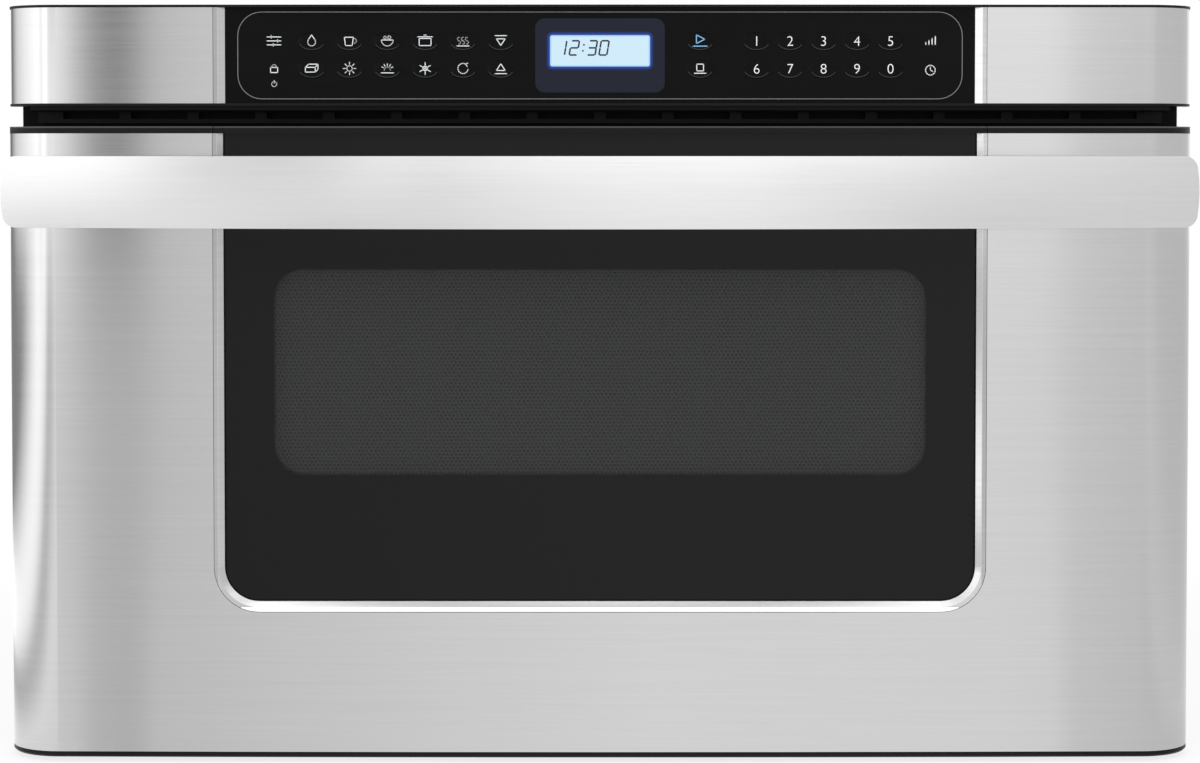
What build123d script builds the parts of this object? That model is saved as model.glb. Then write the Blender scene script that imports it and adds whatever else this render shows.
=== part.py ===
from build123d import *
from math import acos, cos, pi, radians, sin, tan
import os

os.makedirs("parts", exist_ok=True)

# A built-in microwave drawer, in millimetres. X is the width, -Y the front and +Z up. The origin is on the
# surface that the base stands on, midway across the width and the whole depth.

# Chassis behind the mounting flange
chassis_width = 558.0
chassis_depth = 594.0
chassis_height = 372.0
sheet = 1.2  # steel of base, back and front frame
case_sheet = 1.0  # outer case and oven cavity
flange_side = 20.0  # flange beyond each chassis side
flange_top = 8.0  # flange above the chassis
flange_low = 8.0  # lower edge of the flange
flange_hole_radius = 2.6
flange_hole_inset = 10.0
flange_hole_low = 60.0
flange_hole_drop = 52.0  # upper holes below the chassis top
back_recess = 3.0  # back plate inside the case's rear rim

# Curved face that drawer front and control panel share
face_overhang = 24.2  # beyond each chassis side
face_crown = 2.9  # bow of the front over its whole width
face_corner = 28.0
skin = 1.0  # brushed steel sheet
fit = 0.2  # seating gap between curved pieces of one assembly
moulding = 2.5  # wall of the moulded frames

# Drawer front
door_depth = 42.0  # face to the flange's bearing side
door_gap = 0.8  # closed drawer to the front frame
door_bottom = 2.0
bottom_trim = 2.9
cap_height = 3.5
skin_return = 2.0  # side returns end this far before the door's back
glass_width = 380.0
glass_bottom = 82.0
glass_corner = 17.0
glass_thickness = 4.0
glass_recess = 4.0
trim_width = 5.6
trim_bevel = 3.4
trim_setback = 1.4
window_side = 25.0  # from the glass's side to the window
window_height = 104.0
window_bottom = 146.0
window_corner = 15.0

# Bowed handle strap
handle_end_inset = 2.7  # ends of the straight part inside the face
handle_bulge = 2.0  # rounding of the strap's end edges
handle_height = 36.0
handle_drop = 11.5  # below the skin's top edge
handle_thickness = 6.0
handle_bow = 36.0
handle_gap = 30.0  # finger room behind the middle of the strap
handle_corner = 7.0
handle_foot = 12.0
handle_foot_height = 30.0
handle_foot_inset = 6.0

# Control panel
panel_gap = 10.5  # open slot between drawer and panel
panel_height = 51.0
panel_over_chassis = 12.0
panel_setback = 4.0  # panel face behind the drawer face
edge_bottom = 1.2
edge_top = 1.3
edge_proud = 0.5
bead_radius = 1.5
fascia_setback = 4.0
fascia_thickness = 2.5
keypad_side = 6.0  # fascia beyond each end of the keypad
keypad_height = 45.0
keypad_film = 0.5
keypad_corner = 12.7
key_width = 14.5
key_height = 9.5
key_rise = 0.3
key_sides = 8
display_width = 66.0
display_height = 38.0
display_corner = 5.0
lcd_width = 51.0
lcd_height = 17.0
lcd_depth = 6.0
lcd_above_centre = 2.0
board_thickness = 1.6

# Oven cavity, tub and ceramic floor
space_beside_cavity = 50.0
space_above_cavity = 70.0
space_behind_cavity = 171.0
cavity_floor = 92.0
tub_side_gap = 6.5
tub_back_gap = 12.0
tub_top_gap = 16.0
tub_lift = 5.0  # tub above the cavity floor
tub_wall = 2.0
tub_corner = 20.0
tub_edge = 8.0
tub_hem = 3.0
ceramic_thickness = 5.0
choke_width = 19.5
choke_top = 12.5
choke_depth = 8.0
choke_cover_thickness = 1.8

# Mode stirrer and waveguide above the cavity
dome_radius = 95.0
cover_sides = 48
round_sides = 16  # flats of the round forms that nothing turns in
dome_height = 15.0
cover_overlap = 9.0
cover_thickness = 2.0
waveguide_width = 90.0
waveguide_height = 32.0
waveguide_front = 60.0  # waveguide ahead of the stirrer
feed_radius = 20.0
stirrer_radius = 80.0
stirrer_shaft = 5.0
stirrer_pin = 3.0
stirrer_motor_radius = 25.0
stirrer_motor_height = 18.0
stirrer_tab_span = 70.0
stirrer_tab_width = 12.0
stirrer_lift = 3.0  # hub above the cover
stirrer_end_gap = 4.0  # shaft to the motor, and pin to the cover side
hub_radius = 12.0
hub_height = 7.5
blade_count = 4
blade_thickness = 0.8
blade_pitch = 14.0
blade_root_chord = 14.0
blade_tip_chord = 42.0
running = 0.05  # radial play of a shaft in its hole

# Telescopic slides, 45 mm class
slide_height = 45.0
slide_thickness = 12.7
slide_length = 450.0
slide_sheet = 1.2
slide_bottom = 112.0
travel = 380.0
ball_radius = 1.6
ball_play = 0.1  # each side of a ball
ball_count = 3  # in one row of a cage
ball_sides = 8
cage_length = 150.0
cage_sheet = 0.3
web_gap = 0.6  # fixed rail's web to the middle rail's web
fixed_mouth = 1.5  # flange tips of the fixed rail short of the slide's thickness
middle_mouth = 3.1
inner_overlap = 1.0  # gap between inner flange tips and the middle web
slide_setback = 3.0  # fixed rail behind the flange
arm_sheet = 1.5
arm_length = 50.0
arm_margin = 2.0

# Rack and pinion drive
gear_module = 1.5
pinion_teeth = 18
pressure_angle = 20.0
backlash = 0.1
gear_width = 12.0
drive_x = 80.0
pinion_behind_flange = 24.0
pinion_height = 46.0
pinion_shaft = 4.0
rack_web = 9.0
rack_tail = 14.0  # rack left behind the pinion when the drawer is out

# Openings, screws and cord of the chassis
slot_margin = 1.5  # round slides, rack and latches
wall_above_slide = 12.0
base_vent_columns = 6
base_vent_rows = 3
base_vent_pitch_x = 70.0
base_vent_pitch_y = 50.0
base_vent_length = 40.0
base_vent_width = 5.0
exhaust_count = 9
exhaust_pitch = 48.0
exhaust_length = 36.0
exhaust_width = 3.0
back_vent_left = -170.0
back_vent_right = 150.0
back_vent_height = 260.0
back_vent_rows = 7
back_vent_pitch = 14.0
back_vent_length = 110.0
back_vent_width = 5.0
cord_x = 215.0
cord_drop = 27.0  # cord hole and filter board below the chassis top
cord_hole = 9.0
bushing_lip = 2.0

# Magnetron
waveguide_back_gap = 30.0
antenna_hole = 12.0
antenna_radius = 8.0
antenna_length = 22.0
yoke_width = 86.0
yoke_depth = 66.0
yoke_height = 62.0
yoke_sheet = 2.0
anode_radius = 18.0
anode_sides = 12
magnet_radius = 27.0
magnet_height = 10.0
fin_count = 5
fin_thickness = 0.8
fin_margin = 2.0
filter_box_width = 62.0
filter_box_depth = 54.0
filter_box_height = 34.0

# Transformer and capacitor on the base
transformer_x = 165.0
core_width = 104.0
core_depth = 66.0
core_height = 86.0
core_leg = 18.0
core_foot = 12.0
core_foot_sheet = 2.0
coil_gap = 0.5
capacitor_x = 62.0
capacitor_width = 52.0
capacitor_depth = 34.0
capacitor_height = 88.0
capacitor_clamp = 2.0
clamp_height = 10.0
clamp_tab = 14.0
clamp_span = 60.0
terminal_pitch = 24.0
terminal_width = 6.0
terminal_thickness = 1.0
terminal_height = 10.0

# Cooling fan
fan_x = -132.0  # shroud plate
fan_radius = 54.0
fan_tip_gap = 3.0
fan_blades = 5
fan_hub = 14.0
fan_width = 24.0
fan_shaft = 3.0
fan_clearance = 4.0
vane_thickness = 1.4
vane_pitch = 38.0
vane_root_chord = 20.0
vane_tip_chord = 34.0
shroud_sheet = 2.0
shroud_rim = 6.0
duct_margin = 2.0
duct_end_gap = 6.0  # to the magnetron's yoke
fan_motor_width = 44.0
fan_motor_height = 52.0
fan_motor_depth = 26.0
fan_motor_corner = 4.0
fan_arm_width = 10.0
fan_arm_inset = 3.0
fan_arm_thickness = 4.0

# Mains filter board
filter_x = 130.0
filter_width = 90.0
filter_height = 36.0
filter_post = 8.0
filter_post_radius = 2.5
filter_post_inset = 7.0
filter_part_offset = 20.0
filter_coil_radius = 12.0
filter_coil_height = 14.0
filter_can_width = 22.0
filter_can_depth = 12.0
filter_can_height = 16.0

# Oven lamp above the light holes
lamp_x = 160.0
lamp_hole = 1.5
lamp_hole_pitch = 7.0
lamp_hole_columns = 5
lamp_hole_rows = 3
lamp_base_width = 60.0
lamp_base_depth = 30.0
lamp_base_height = 3.0
lamp_base_rim = 8.0
lamp_socket_width = 12.0
lamp_socket_height = 30.0
lamp_socket_x = 24.0
bulb_radius = 11.0
bulb_length = 26.0
bulb_height = 18.0

# Latches and door switches
latch_above_slide = 90.0
latch_width = 4.0
latch_height = 16.0
hook_length = 44.0
hook_nose = 14.0
hook_slope = 2.0
bracket_sheet = 3.0
bracket_behind_hook = 16.0
bracket_flange = 8.0
switch_gap = 1.5  # pressed switch body to the hook's nose
switch_width = 8.0
switch_depth = 20.0
switch_height = 11.0
switch_spacing = 22.4
plunger_radius = 1.2

# Drive motor
shaft_length = 24.0
gearbox_gap = 1.0
gearbox_width = 40.0
gearbox_depth = 54.0
gearbox_corner = 4.0
shoe_gap = 0.3  # above the rack
shoe_thickness = 3.0
shoe_depth = 20.0
shoe_over_rack = 3.0
motor_radius = 17.0
motor_length = 46.0
motor_height = 26.0
motor_behind_pinion = 8.0

# Keys, control board and louvre
key_pitch_x = 19.15
digit_pitch_x = 16.95
key_pitch_z = 14.0
function_x = -98.1
start_x = 50.7
digit_x = 113.2
board_width = 300.0
board_height = 38.0
post_radius = 3.0
relay_size = 14.0
bead_inset = 12.0
bead_end_inset = 13.2
louvre_depth = 6.0
louvre_lift = 2.0  # above the drawer's cap
louvre_slots = 16
louvre_pitch = 35.0
louvre_slot_length = 29.0
louvre_slot_width = 4.0
clip_depth = 15.0
clip_width = 12.0
clip_width_middle = 29.0
clip_inner_x = 65.0
clip_outer_x = 121.0

# Places that follow from the sizes above
face_width = chassis_width + 2 * face_overhang
cavity_width = chassis_width - 2 * space_beside_cavity
cavity_height = chassis_height - cavity_floor - space_above_cavity
cavity_depth = chassis_depth - space_behind_cavity
front_reach = door_depth + handle_gap + handle_thickness
mount_y = (front_reach - chassis_depth) / 2
frame_front = mount_y - sheet
chassis_back = mount_y + chassis_depth
door_front = mount_y - door_depth
door_back = frame_front - door_gap
skin_back = door_back - skin_return
panel_top = chassis_height + panel_over_chassis
panel_bottom = panel_top - panel_height
cap_top = panel_bottom - panel_gap
skin_top = cap_top - cap_height
skin_bottom = door_bottom + bottom_trim
skin_height = skin_top - skin_bottom
window_width = glass_width - 2 * window_side
handle_width = face_width - 2 * handle_end_inset
handle_bottom = skin_top - handle_drop - handle_height
panel_front = door_front + panel_setback
half_case = chassis_width / 2
choke_plate_back = door_back - choke_cover_thickness - choke_depth
cavity_back = mount_y + cavity_depth
cavity_top = cavity_floor + cavity_height
stirrer_y = (mount_y + cavity_back) / 2


def facing(y):
    """Plane seen from the front at depth y, with local x along +X and local y along +Z."""
    return Plane.XZ.offset(-y)


def face_plan(front, back, inset=0.0):
    """Plan of the curved face: crowned front, rounded front corners, straight sides and back."""
    half = face_width / 2 - inset
    near = front + inset
    far = near + 3 * face_corner
    with BuildSketch() as plan:
        with BuildLine():
            ThreePointArc((-half, near + face_crown), (0, near), (half, near + face_crown))
            Polyline((half, near + face_crown), (half, far), (-half, far), (-half, near + face_crown))
        make_face()
        fillet(plan.vertices().group_by(Axis.Y)[0], face_corner - inset)
        with Locations((0, back)):
            Rectangle(2 * half, 2 * (far - near), align=(Align.CENTER, Align.MAX), mode=Mode.INTERSECT)
    return plan.sketch


def glass_shape(margin):
    """Front view of the black glass, grown by a margin: square at the top, rounded at the bottom."""
    low = glass_bottom - margin
    with BuildSketch() as shape:
        with Locations((0, low)):
            Rectangle(glass_width + 2 * margin, skin_top - low, align=(Align.CENTER, Align.MIN))
        fillet(shape.vertices().group_by(Axis.Y)[0], glass_corner + margin)
    return shape.sketch


def window_shape(margin):
    """Front view of the see-through window, grown by a margin."""
    with BuildSketch() as shape:
        with Locations((0, window_bottom + window_height / 2)):
            RectangleRounded(window_width + 2 * margin, window_height + 2 * margin, window_corner + margin)
    return shape.sketch


# ---------------------------------------------------------------- drawer front

# Steel skin: one sheet bent round both front corners, cut out for the glass from its top edge down.
with BuildPart() as door_skin:
    with BuildSketch(Plane.XY.offset(skin_bottom)):
        add(face_plan(door_front, skin_back))
        add(face_plan(door_front, skin_back + skin, skin), mode=Mode.SUBTRACT)
    extrude(amount=skin_height)
    with BuildSketch(facing(door_front - skin)):
        add(glass_shape(trim_width + fit))
    extrude(amount=-(face_corner + skin), mode=Mode.SUBTRACT)
door_skin.part.label = "door_skin"
export_step(door_skin.part, "parts/door_skin.step")

# Bright U-shaped trim with a bevel that falls from the skin to the sunken glass.
glass_front = door_front + glass_recess
glass_back = glass_front + glass_thickness
trim_front = door_front + trim_setback
with BuildPart() as trim_slope:
    with BuildSketch(facing(trim_front + trim_bevel)):
        add(glass_shape(0))
    with BuildSketch(facing(trim_front)):
        add(glass_shape(trim_bevel))
    loft()
with BuildPart() as glass_trim:
    with BuildSketch(facing(glass_back)):
        add(glass_shape(trim_width))
        add(glass_shape(0), mode=Mode.SUBTRACT)
    extrude(amount=glass_back - trim_front)
    add(trim_slope.part, mode=Mode.SUBTRACT)
glass_trim.part.label = "glass_trim"
export_step(glass_trim.part, "parts/glass_trim.step")

# Black tempered glass, flat, held by the trim.
with BuildPart() as door_glass:
    with BuildSketch(facing(glass_back)):
        add(glass_shape(-fit))
    extrude(amount=glass_thickness)
door_glass.part.label = "door_glass"
export_step(door_glass.part, "parts/door_glass.step")

# Moulded frame that carries skin, glass and handle. It is open at the back, with a pocket for the glass.
frame_inset = skin + fit
pocket_back = glass_back + fit
with BuildPart() as frame_hollow:
    with BuildSketch(Plane.XY.offset(skin_bottom + moulding)):
        add(face_plan(door_front, choke_plate_back, frame_inset + moulding))
    extrude(amount=skin_height - 2 * moulding)
    with BuildSketch(facing(pocket_back + moulding)):
        add(glass_shape(trim_width + fit + moulding))
    extrude(amount=face_corner, mode=Mode.SUBTRACT)
with BuildPart() as door_frame:
    with BuildSketch(Plane.XY.offset(skin_bottom)):
        add(face_plan(door_front, choke_plate_back - sheet, frame_inset))
    extrude(amount=skin_height)
    add(frame_hollow.part, mode=Mode.SUBTRACT)
    with BuildSketch(facing(pocket_back)):
        add(glass_shape(trim_width + fit))
    extrude(amount=face_corner, mode=Mode.SUBTRACT)
    with BuildSketch(facing(pocket_back - fit)):
        add(window_shape(moulding))
    extrude(amount=-2 * moulding, mode=Mode.SUBTRACT)
door_frame.part.label = "door_frame"
export_step(door_frame.part, "parts/door_frame.step")

# Black cap over the drawer front, with a shallow notch where each bright trim ends.
with BuildPart() as door_top_cap:
    with BuildSketch(Plane.XY.offset(skin_top)):
        add(face_plan(door_front, door_back - door_gap))
    extrude(amount=cap_height)
    with BuildSketch(Plane.XY.offset(skin_top)):
        with GridLocations(glass_width + trim_width, 0, 2, 1):
            with Locations((0, door_front)):
                Rectangle(trim_width, 2 * trim_setback + 2 * skin)
    extrude(amount=cap_height, mode=Mode.SUBTRACT)
door_top_cap.part.label = "door_top_cap"
export_step(door_top_cap.part, "parts/door_top_cap.step")

# Dark strip that closes the drawer front from below.
with BuildPart() as door_bottom_trim:
    with BuildSketch(Plane.XY.offset(door_bottom)):
        add(face_plan(door_front, choke_plate_back))
    extrude(amount=bottom_trim)
    chamfer(door_bottom_trim.faces().sort_by(Axis.Z)[0].edges().sort_by(Axis.Y)[0], bottom_trim / 3)
door_bottom_trim.part.label = "door_bottom_trim"
export_step(door_bottom_trim.part, "parts/door_bottom_trim.step")

# Bowed strap handle. Its front is one arc, its ends are rounded, and a foot at each end seats on the corner.
handle_front = door_front - handle_gap - handle_thickness
handle_middle = handle_bottom + handle_height / 2
foot_x = handle_width / 2 - handle_foot_inset - handle_foot / 2
with BuildPart() as handle:
    half = handle_width / 2 + handle_bulge
    bow_end = handle_front + handle_bow
    with BuildSketch(Plane.XY.offset(handle_bottom)):
        with BuildLine():
            ThreePointArc((-half, bow_end), (0, handle_front), (half, bow_end))
            Line((half, bow_end), (half, bow_end + handle_thickness))
            ThreePointArc(
                (half, bow_end + handle_thickness),
                (0, handle_front + handle_thickness),
                (-half, bow_end + handle_thickness),
            )
            Line((-half, bow_end + handle_thickness), (-half, bow_end))
        make_face()
    extrude(amount=handle_height)
    with BuildSketch(facing(bow_end + 2 * handle_thickness)) as end_view:
        side = handle_width / 2
        low = handle_bottom
        high = handle_bottom + handle_height
        with BuildLine():
            Line((-side, low), (side, low))
            ThreePointArc((side, low), (half, handle_middle), (side, high))
            Line((side, high), (-side, high))
            ThreePointArc((-side, high), (-half, handle_middle), (-side, low))
        make_face()
        fillet(end_view.vertices(), handle_corner)
    extrude(amount=handle_bow + 3 * handle_thickness, mode=Mode.INTERSECT)
    with BuildSketch(Plane.XY.offset(handle_middle - handle_foot_height / 2)):
        with GridLocations(2 * foot_x, 0, 2, 1):
            with Locations((0, bow_end)):
                Rectangle(handle_foot, face_corner, align=(Align.CENTER, Align.MIN))
        add(face_plan(door_front, door_back, -fit), mode=Mode.SUBTRACT)
    extrude(amount=handle_foot_height)
handle.part.label = "handle"
export_step(handle.part, "parts/handle.step")

# Perforated steel screen behind the glass, in front of the inner window. Its holes are too fine to model.
screen_front = pocket_back + moulding
with BuildPart() as window_screen:
    with BuildSketch(facing(screen_front + case_sheet)):
        add(window_shape(3 * moulding))
    extrude(amount=case_sheet)
window_screen.part.label = "window_screen"
export_step(window_screen.part, "parts/window_screen.step")

# Pressed steel choke plate: it closes the frame, carries the tub and has a channel round the cavity mouth.
choke_outer_low = cavity_floor - choke_width
choke_outer_high = cavity_top + choke_top + fit
choke_inner_width = cavity_width + 2 * fit
choke_outer_width = cavity_width + 2 * choke_width


def choke_ring(grow, shrink):
    """Front view of the ring between the choke's outer outline and the cavity mouth."""
    with BuildSketch() as ring:
        with Locations((0, (choke_outer_low + choke_outer_high) / 2)):
            Rectangle(choke_outer_width + 2 * grow, choke_outer_high - choke_outer_low + 2 * grow)
        with Locations((0, cavity_floor + cavity_height / 2)):
            Rectangle(
                choke_inner_width + 2 * shrink, cavity_height + 2 * fit + 2 * shrink, mode=Mode.SUBTRACT
            )
    return ring.sketch


with BuildPart() as choke_plate:
    with BuildSketch(facing(choke_plate_back)):
        with Locations((0, skin_bottom)):
            Rectangle(
                face_width - 2 * frame_inset, choke_outer_high - skin_bottom, align=(Align.CENTER, Align.MIN)
            )
        add(window_shape(moulding), mode=Mode.SUBTRACT)
    extrude(amount=sheet)
    with BuildSketch(facing(choke_plate_back + choke_depth)):
        add(choke_ring(0, 0))
    extrude(amount=choke_depth)
    with BuildSketch(facing(choke_plate_back + choke_depth)):
        add(choke_ring(-sheet, sheet))
    extrude(amount=choke_depth, mode=Mode.SUBTRACT)
choke_plate.part.label = "choke_plate"
export_step(choke_plate.part, "parts/choke_plate.step")

# Plastic ring that closes the choke channel towards the cavity.
with BuildPart() as choke_cover:
    with BuildSketch(facing(door_back)):
        add(choke_ring(0, 0))
    extrude(amount=choke_cover_thickness)
choke_cover.part.label = "choke_cover"
export_step(choke_cover.part, "parts/choke_cover.step")

# Clear inner window on the food side of the choke plate.
with BuildPart() as inner_window:
    with BuildSketch(facing(choke_plate_back + tub_wall)):
        add(window_shape(3 * moulding))
    extrude(amount=tub_wall)
inner_window.part.label = "inner_window"
export_step(inner_window.part, "parts/inner_window.step")

# ---------------------------------------------------------------- tub

tub_front = choke_plate_back
tub_back = cavity_back - tub_back_gap
tub_width = cavity_width - 2 * tub_side_gap
tub_bottom = cavity_floor + tub_lift
tub_rim = cavity_top - tub_top_gap
tub_height = tub_rim - tub_bottom


def tub_plan(margin, front=tub_front):
    """Plan of the tub, grown by a margin on its sides and back, with rounded rear corners."""
    with BuildSketch() as plan:
        with Locations((0, front)):
            Rectangle(tub_width + 2 * margin, tub_back + margin - front, align=(Align.CENTER, Align.MIN))
        fillet(plan.vertices().group_by(Axis.Y)[-1], tub_corner + margin)
    return plan.sketch


# Deep-drawn steel tub, open at the top and closed in front by the choke plate, with a hem round its rim.
with BuildPart() as tub_inside:
    with BuildSketch(Plane.XY.offset(tub_bottom + tub_wall)):
        add(tub_plan(-tub_wall))
    extrude(amount=tub_height)
    fillet(tub_inside.faces().sort_by(Axis.Z)[0].edges().sort_by(Axis.Y)[1:], tub_edge - tub_wall)
with BuildPart() as drawer_tub:
    with BuildSketch(Plane.XY.offset(tub_bottom)):
        add(tub_plan(0))
    extrude(amount=tub_height)
    chamfer(drawer_tub.faces().sort_by(Axis.Z)[0].edges().sort_by(Axis.Y)[1:], tub_edge / 2)
    with BuildSketch(Plane.XY.offset(tub_rim - tub_hem)):
        add(tub_plan(tub_hem - fit))
    extrude(amount=tub_hem)
    add(tub_inside.part, mode=Mode.SUBTRACT)
drawer_tub.part.label = "drawer_tub"
export_step(drawer_tub.part, "parts/drawer_tub.step")

# Glass-ceramic floor plate that lies in the tub.
with BuildPart() as ceramic_floor:
    with BuildSketch(Plane.XY.offset(tub_bottom + tub_wall)):
        add(tub_plan(-tub_edge - tub_wall, tub_front + tub_edge))
    extrude(amount=ceramic_thickness)
    chamfer(ceramic_floor.faces().sort_by(Axis.Z)[-1].edges(), ceramic_thickness / 4)
ceramic_floor.part.label = "ceramic_floor"
export_step(ceramic_floor.part, "parts/ceramic_floor.step")

# ---------------------------------------------------------------- chassis

# Mounting front frame: a flat plate whose rim bears on the cabinet, open for whatever the drawer carries.
slide_z = slide_bottom + slide_height / 2
slide_outer = half_case - case_sheet - sheet  # face that the fixed rails are screwed to
slide_inner = slide_outer - slide_thickness
rack_pitch_z = pinion_height + gear_module * pinion_teeth / 2
rack_top = rack_pitch_z + rack_web
latch_z = slide_bottom + slide_height + latch_above_slide
latch_x = slide_inner + slide_thickness / 2
frame_height = chassis_height + flange_top - flange_low
flange_hole_high = chassis_height - flange_hole_drop
with BuildPart() as front_frame:
    with BuildSketch(facing(mount_y)):
        with Locations((0, flange_low)):
            Rectangle(chassis_width + 2 * flange_side, frame_height, align=(Align.CENTER, Align.MIN))
        with Locations((0, cavity_floor + cavity_height / 2)):
            Rectangle(cavity_width, cavity_height, mode=Mode.SUBTRACT)
        slot_width = slide_thickness + arm_sheet + slot_margin
        with Locations((0, slide_z)):
            with GridLocations(2 * slide_outer - slot_width, 0, 2, 1):
                Rectangle(slot_width, slide_height + 2 * slot_margin, mode=Mode.SUBTRACT)
        with Locations((0, latch_z)):
            with GridLocations(2 * latch_x, 0, 2, 1):
                Rectangle(latch_width + 4 * slot_margin, latch_height + 4 * slot_margin, mode=Mode.SUBTRACT)
        with Locations((drive_x, (rack_pitch_z + rack_top) / 2)):
            Rectangle(gear_width + 4 * slot_margin, rack_web + 6 * gear_module, mode=Mode.SUBTRACT)
        with Locations((0, (flange_hole_low + flange_hole_high) / 2)):
            flange_span = chassis_width + 2 * flange_hole_inset
            with GridLocations(flange_span, flange_hole_high - flange_hole_low, 2, 2):
                Circle(flange_hole_radius, mode=Mode.SUBTRACT)
        with Locations((0, (cavity_top + panel_bottom) / 2)):
            with GridLocations(exhaust_pitch, 0, exhaust_count, 1):
                Rectangle(exhaust_length, exhaust_width, mode=Mode.SUBTRACT)
        with Locations((0, panel_bottom + panel_height / 2)):
            Rectangle(2 * display_width, panel_height / 2, mode=Mode.SUBTRACT)
    extrude(amount=sheet)
front_frame.part.label = "front_frame"
export_step(front_frame.part, "parts/front_frame.step")

# Base pan: the floor of the chassis with side walls that carry the slides.
base_wall = slide_bottom + slide_height + wall_above_slide
with BuildPart() as base_pan:
    with BuildSketch(facing(mount_y)):
        Rectangle(2 * (half_case - case_sheet), base_wall, align=(Align.CENTER, Align.MIN))
        with Locations((0, sheet)):
            Rectangle(2 * slide_outer, base_wall, align=(Align.CENTER, Align.MIN), mode=Mode.SUBTRACT)
    extrude(amount=-(chassis_depth - back_recess - sheet))
    with BuildSketch(Plane.XY):
        with Locations((0, mount_y + chassis_depth / 2)):
            with GridLocations(base_vent_pitch_x, base_vent_pitch_y, base_vent_columns, base_vent_rows):
                Rectangle(base_vent_length, base_vent_width)
    extrude(amount=sheet, mode=Mode.SUBTRACT)
base_pan.part.label = "base_pan"
export_step(base_pan.part, "parts/base_pan.step")

# Outer case: top and both sides bent from one sheet.
case_foot = sheet
with BuildPart() as outer_case:
    with BuildSketch(facing(mount_y)):
        with Locations((0, case_foot)):
            Rectangle(chassis_width, chassis_height - case_foot, align=(Align.CENTER, Align.MIN))
            Rectangle(
                chassis_width - 2 * case_sheet,
                chassis_height - case_foot - case_sheet,
                align=(Align.CENTER, Align.MIN),
                mode=Mode.SUBTRACT,
            )
    extrude(amount=-chassis_depth)
    case_top_edges = outer_case.edges().filter_by(Axis.Y).group_by(Axis.Z)[-1]
    fillet(case_top_edges, case_sheet)
outer_case.part.label = "outer_case"
export_step(outer_case.part, "parts/outer_case.step")

# Back plate with air slots, fan opening and cord hole.
back_face = chassis_back - back_recess
back_inner = back_face - sheet
back_height = chassis_height - case_sheet - sheet
cord_z = chassis_height - cord_drop
with BuildPart() as back_plate:
    with BuildSketch(facing(back_face)):
        with Locations((0, sheet)):
            Rectangle(2 * (half_case - case_sheet), back_height, align=(Align.CENTER, Align.MIN))
        with Locations((cord_x, cord_z)):
            RegularPolygon(cord_hole, round_sides, mode=Mode.SUBTRACT)
        for group_x in (back_vent_left, back_vent_right):
            with Locations((group_x, back_vent_height)):
                with GridLocations(0, back_vent_pitch, 1, back_vent_rows):
                    Rectangle(back_vent_length, back_vent_width, mode=Mode.SUBTRACT)
    extrude(amount=sheet)
back_plate.part.label = "back_plate"
export_step(back_plate.part, "parts/back_plate.step")

# Rubber bushing in the cord hole.
with BuildPart() as cord_bushing:
    with BuildSketch(facing(back_inner)):
        with Locations((cord_x, cord_z)):
            RegularPolygon(cord_hole - running, round_sides)
    extrude(amount=-sheet)
    with BuildSketch(facing(back_face)):
        with Locations((cord_x, cord_z)):
            RegularPolygon(cord_hole + bushing_lip, round_sides)
    extrude(amount=-bushing_lip)
    with BuildSketch(facing(back_face + bushing_lip)):
        with Locations((cord_x, cord_z)):
            RegularPolygon(cord_hole / 2, round_sides)
    extrude(amount=4 * bushing_lip, mode=Mode.SUBTRACT)
cord_bushing.part.label = "cord_bushing"
export_step(cord_bushing.part, "parts/cord_bushing.step")

# Oven cavity: a welded box open at the front, with a pressed dome for the stirrer in its ceiling.
feed_plane = cavity_top + dome_height + case_sheet
with BuildPart() as oven_cavity:
    with BuildSketch(facing(mount_y)):
        with Locations((0, cavity_floor + cavity_height / 2)):
            Rectangle(cavity_width + 2 * case_sheet, cavity_height + 2 * case_sheet)
    extrude(amount=-(cavity_depth + case_sheet))
    with Locations((0, stirrer_y, cavity_top)):
        Cylinder(
            dome_radius + case_sheet, dome_height + case_sheet, align=(Align.CENTER, Align.CENTER, Align.MIN)
        )
    with BuildSketch(facing(mount_y)):
        with Locations((0, cavity_floor + cavity_height / 2)):
            Rectangle(cavity_width, cavity_height)
    extrude(amount=-cavity_depth, mode=Mode.SUBTRACT)
    with Locations((0, stirrer_y, cavity_top)):
        Cylinder(
            dome_radius, dome_height, align=(Align.CENTER, Align.CENTER, Align.MIN), mode=Mode.SUBTRACT
        )
        Cylinder(feed_radius, 3 * dome_height, mode=Mode.SUBTRACT)
    with BuildSketch(Plane.XY.offset(cavity_top)):
        with Locations((lamp_x, stirrer_y)):
            with GridLocations(lamp_hole_pitch, lamp_hole_pitch, lamp_hole_columns, lamp_hole_rows):
                RegularPolygon(lamp_hole, 6)
    extrude(amount=case_sheet, mode=Mode.SUBTRACT)
oven_cavity.part.label = "oven_cavity"
export_step(oven_cavity.part, "parts/oven_cavity.step")

# Microwave-clear disc that closes the dome towards the food.
with BuildPart() as stirrer_cover:
    with BuildSketch(Plane.XY.offset(cavity_top - cover_thickness)):
        with Locations((0, stirrer_y)):
            RegularPolygon(dome_radius + cover_overlap, cover_sides)
    extrude(amount=cover_thickness)
stirrer_cover.part.label = "stirrer_cover"
export_step(stirrer_cover.part, "parts/stirrer_cover.step")

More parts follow.
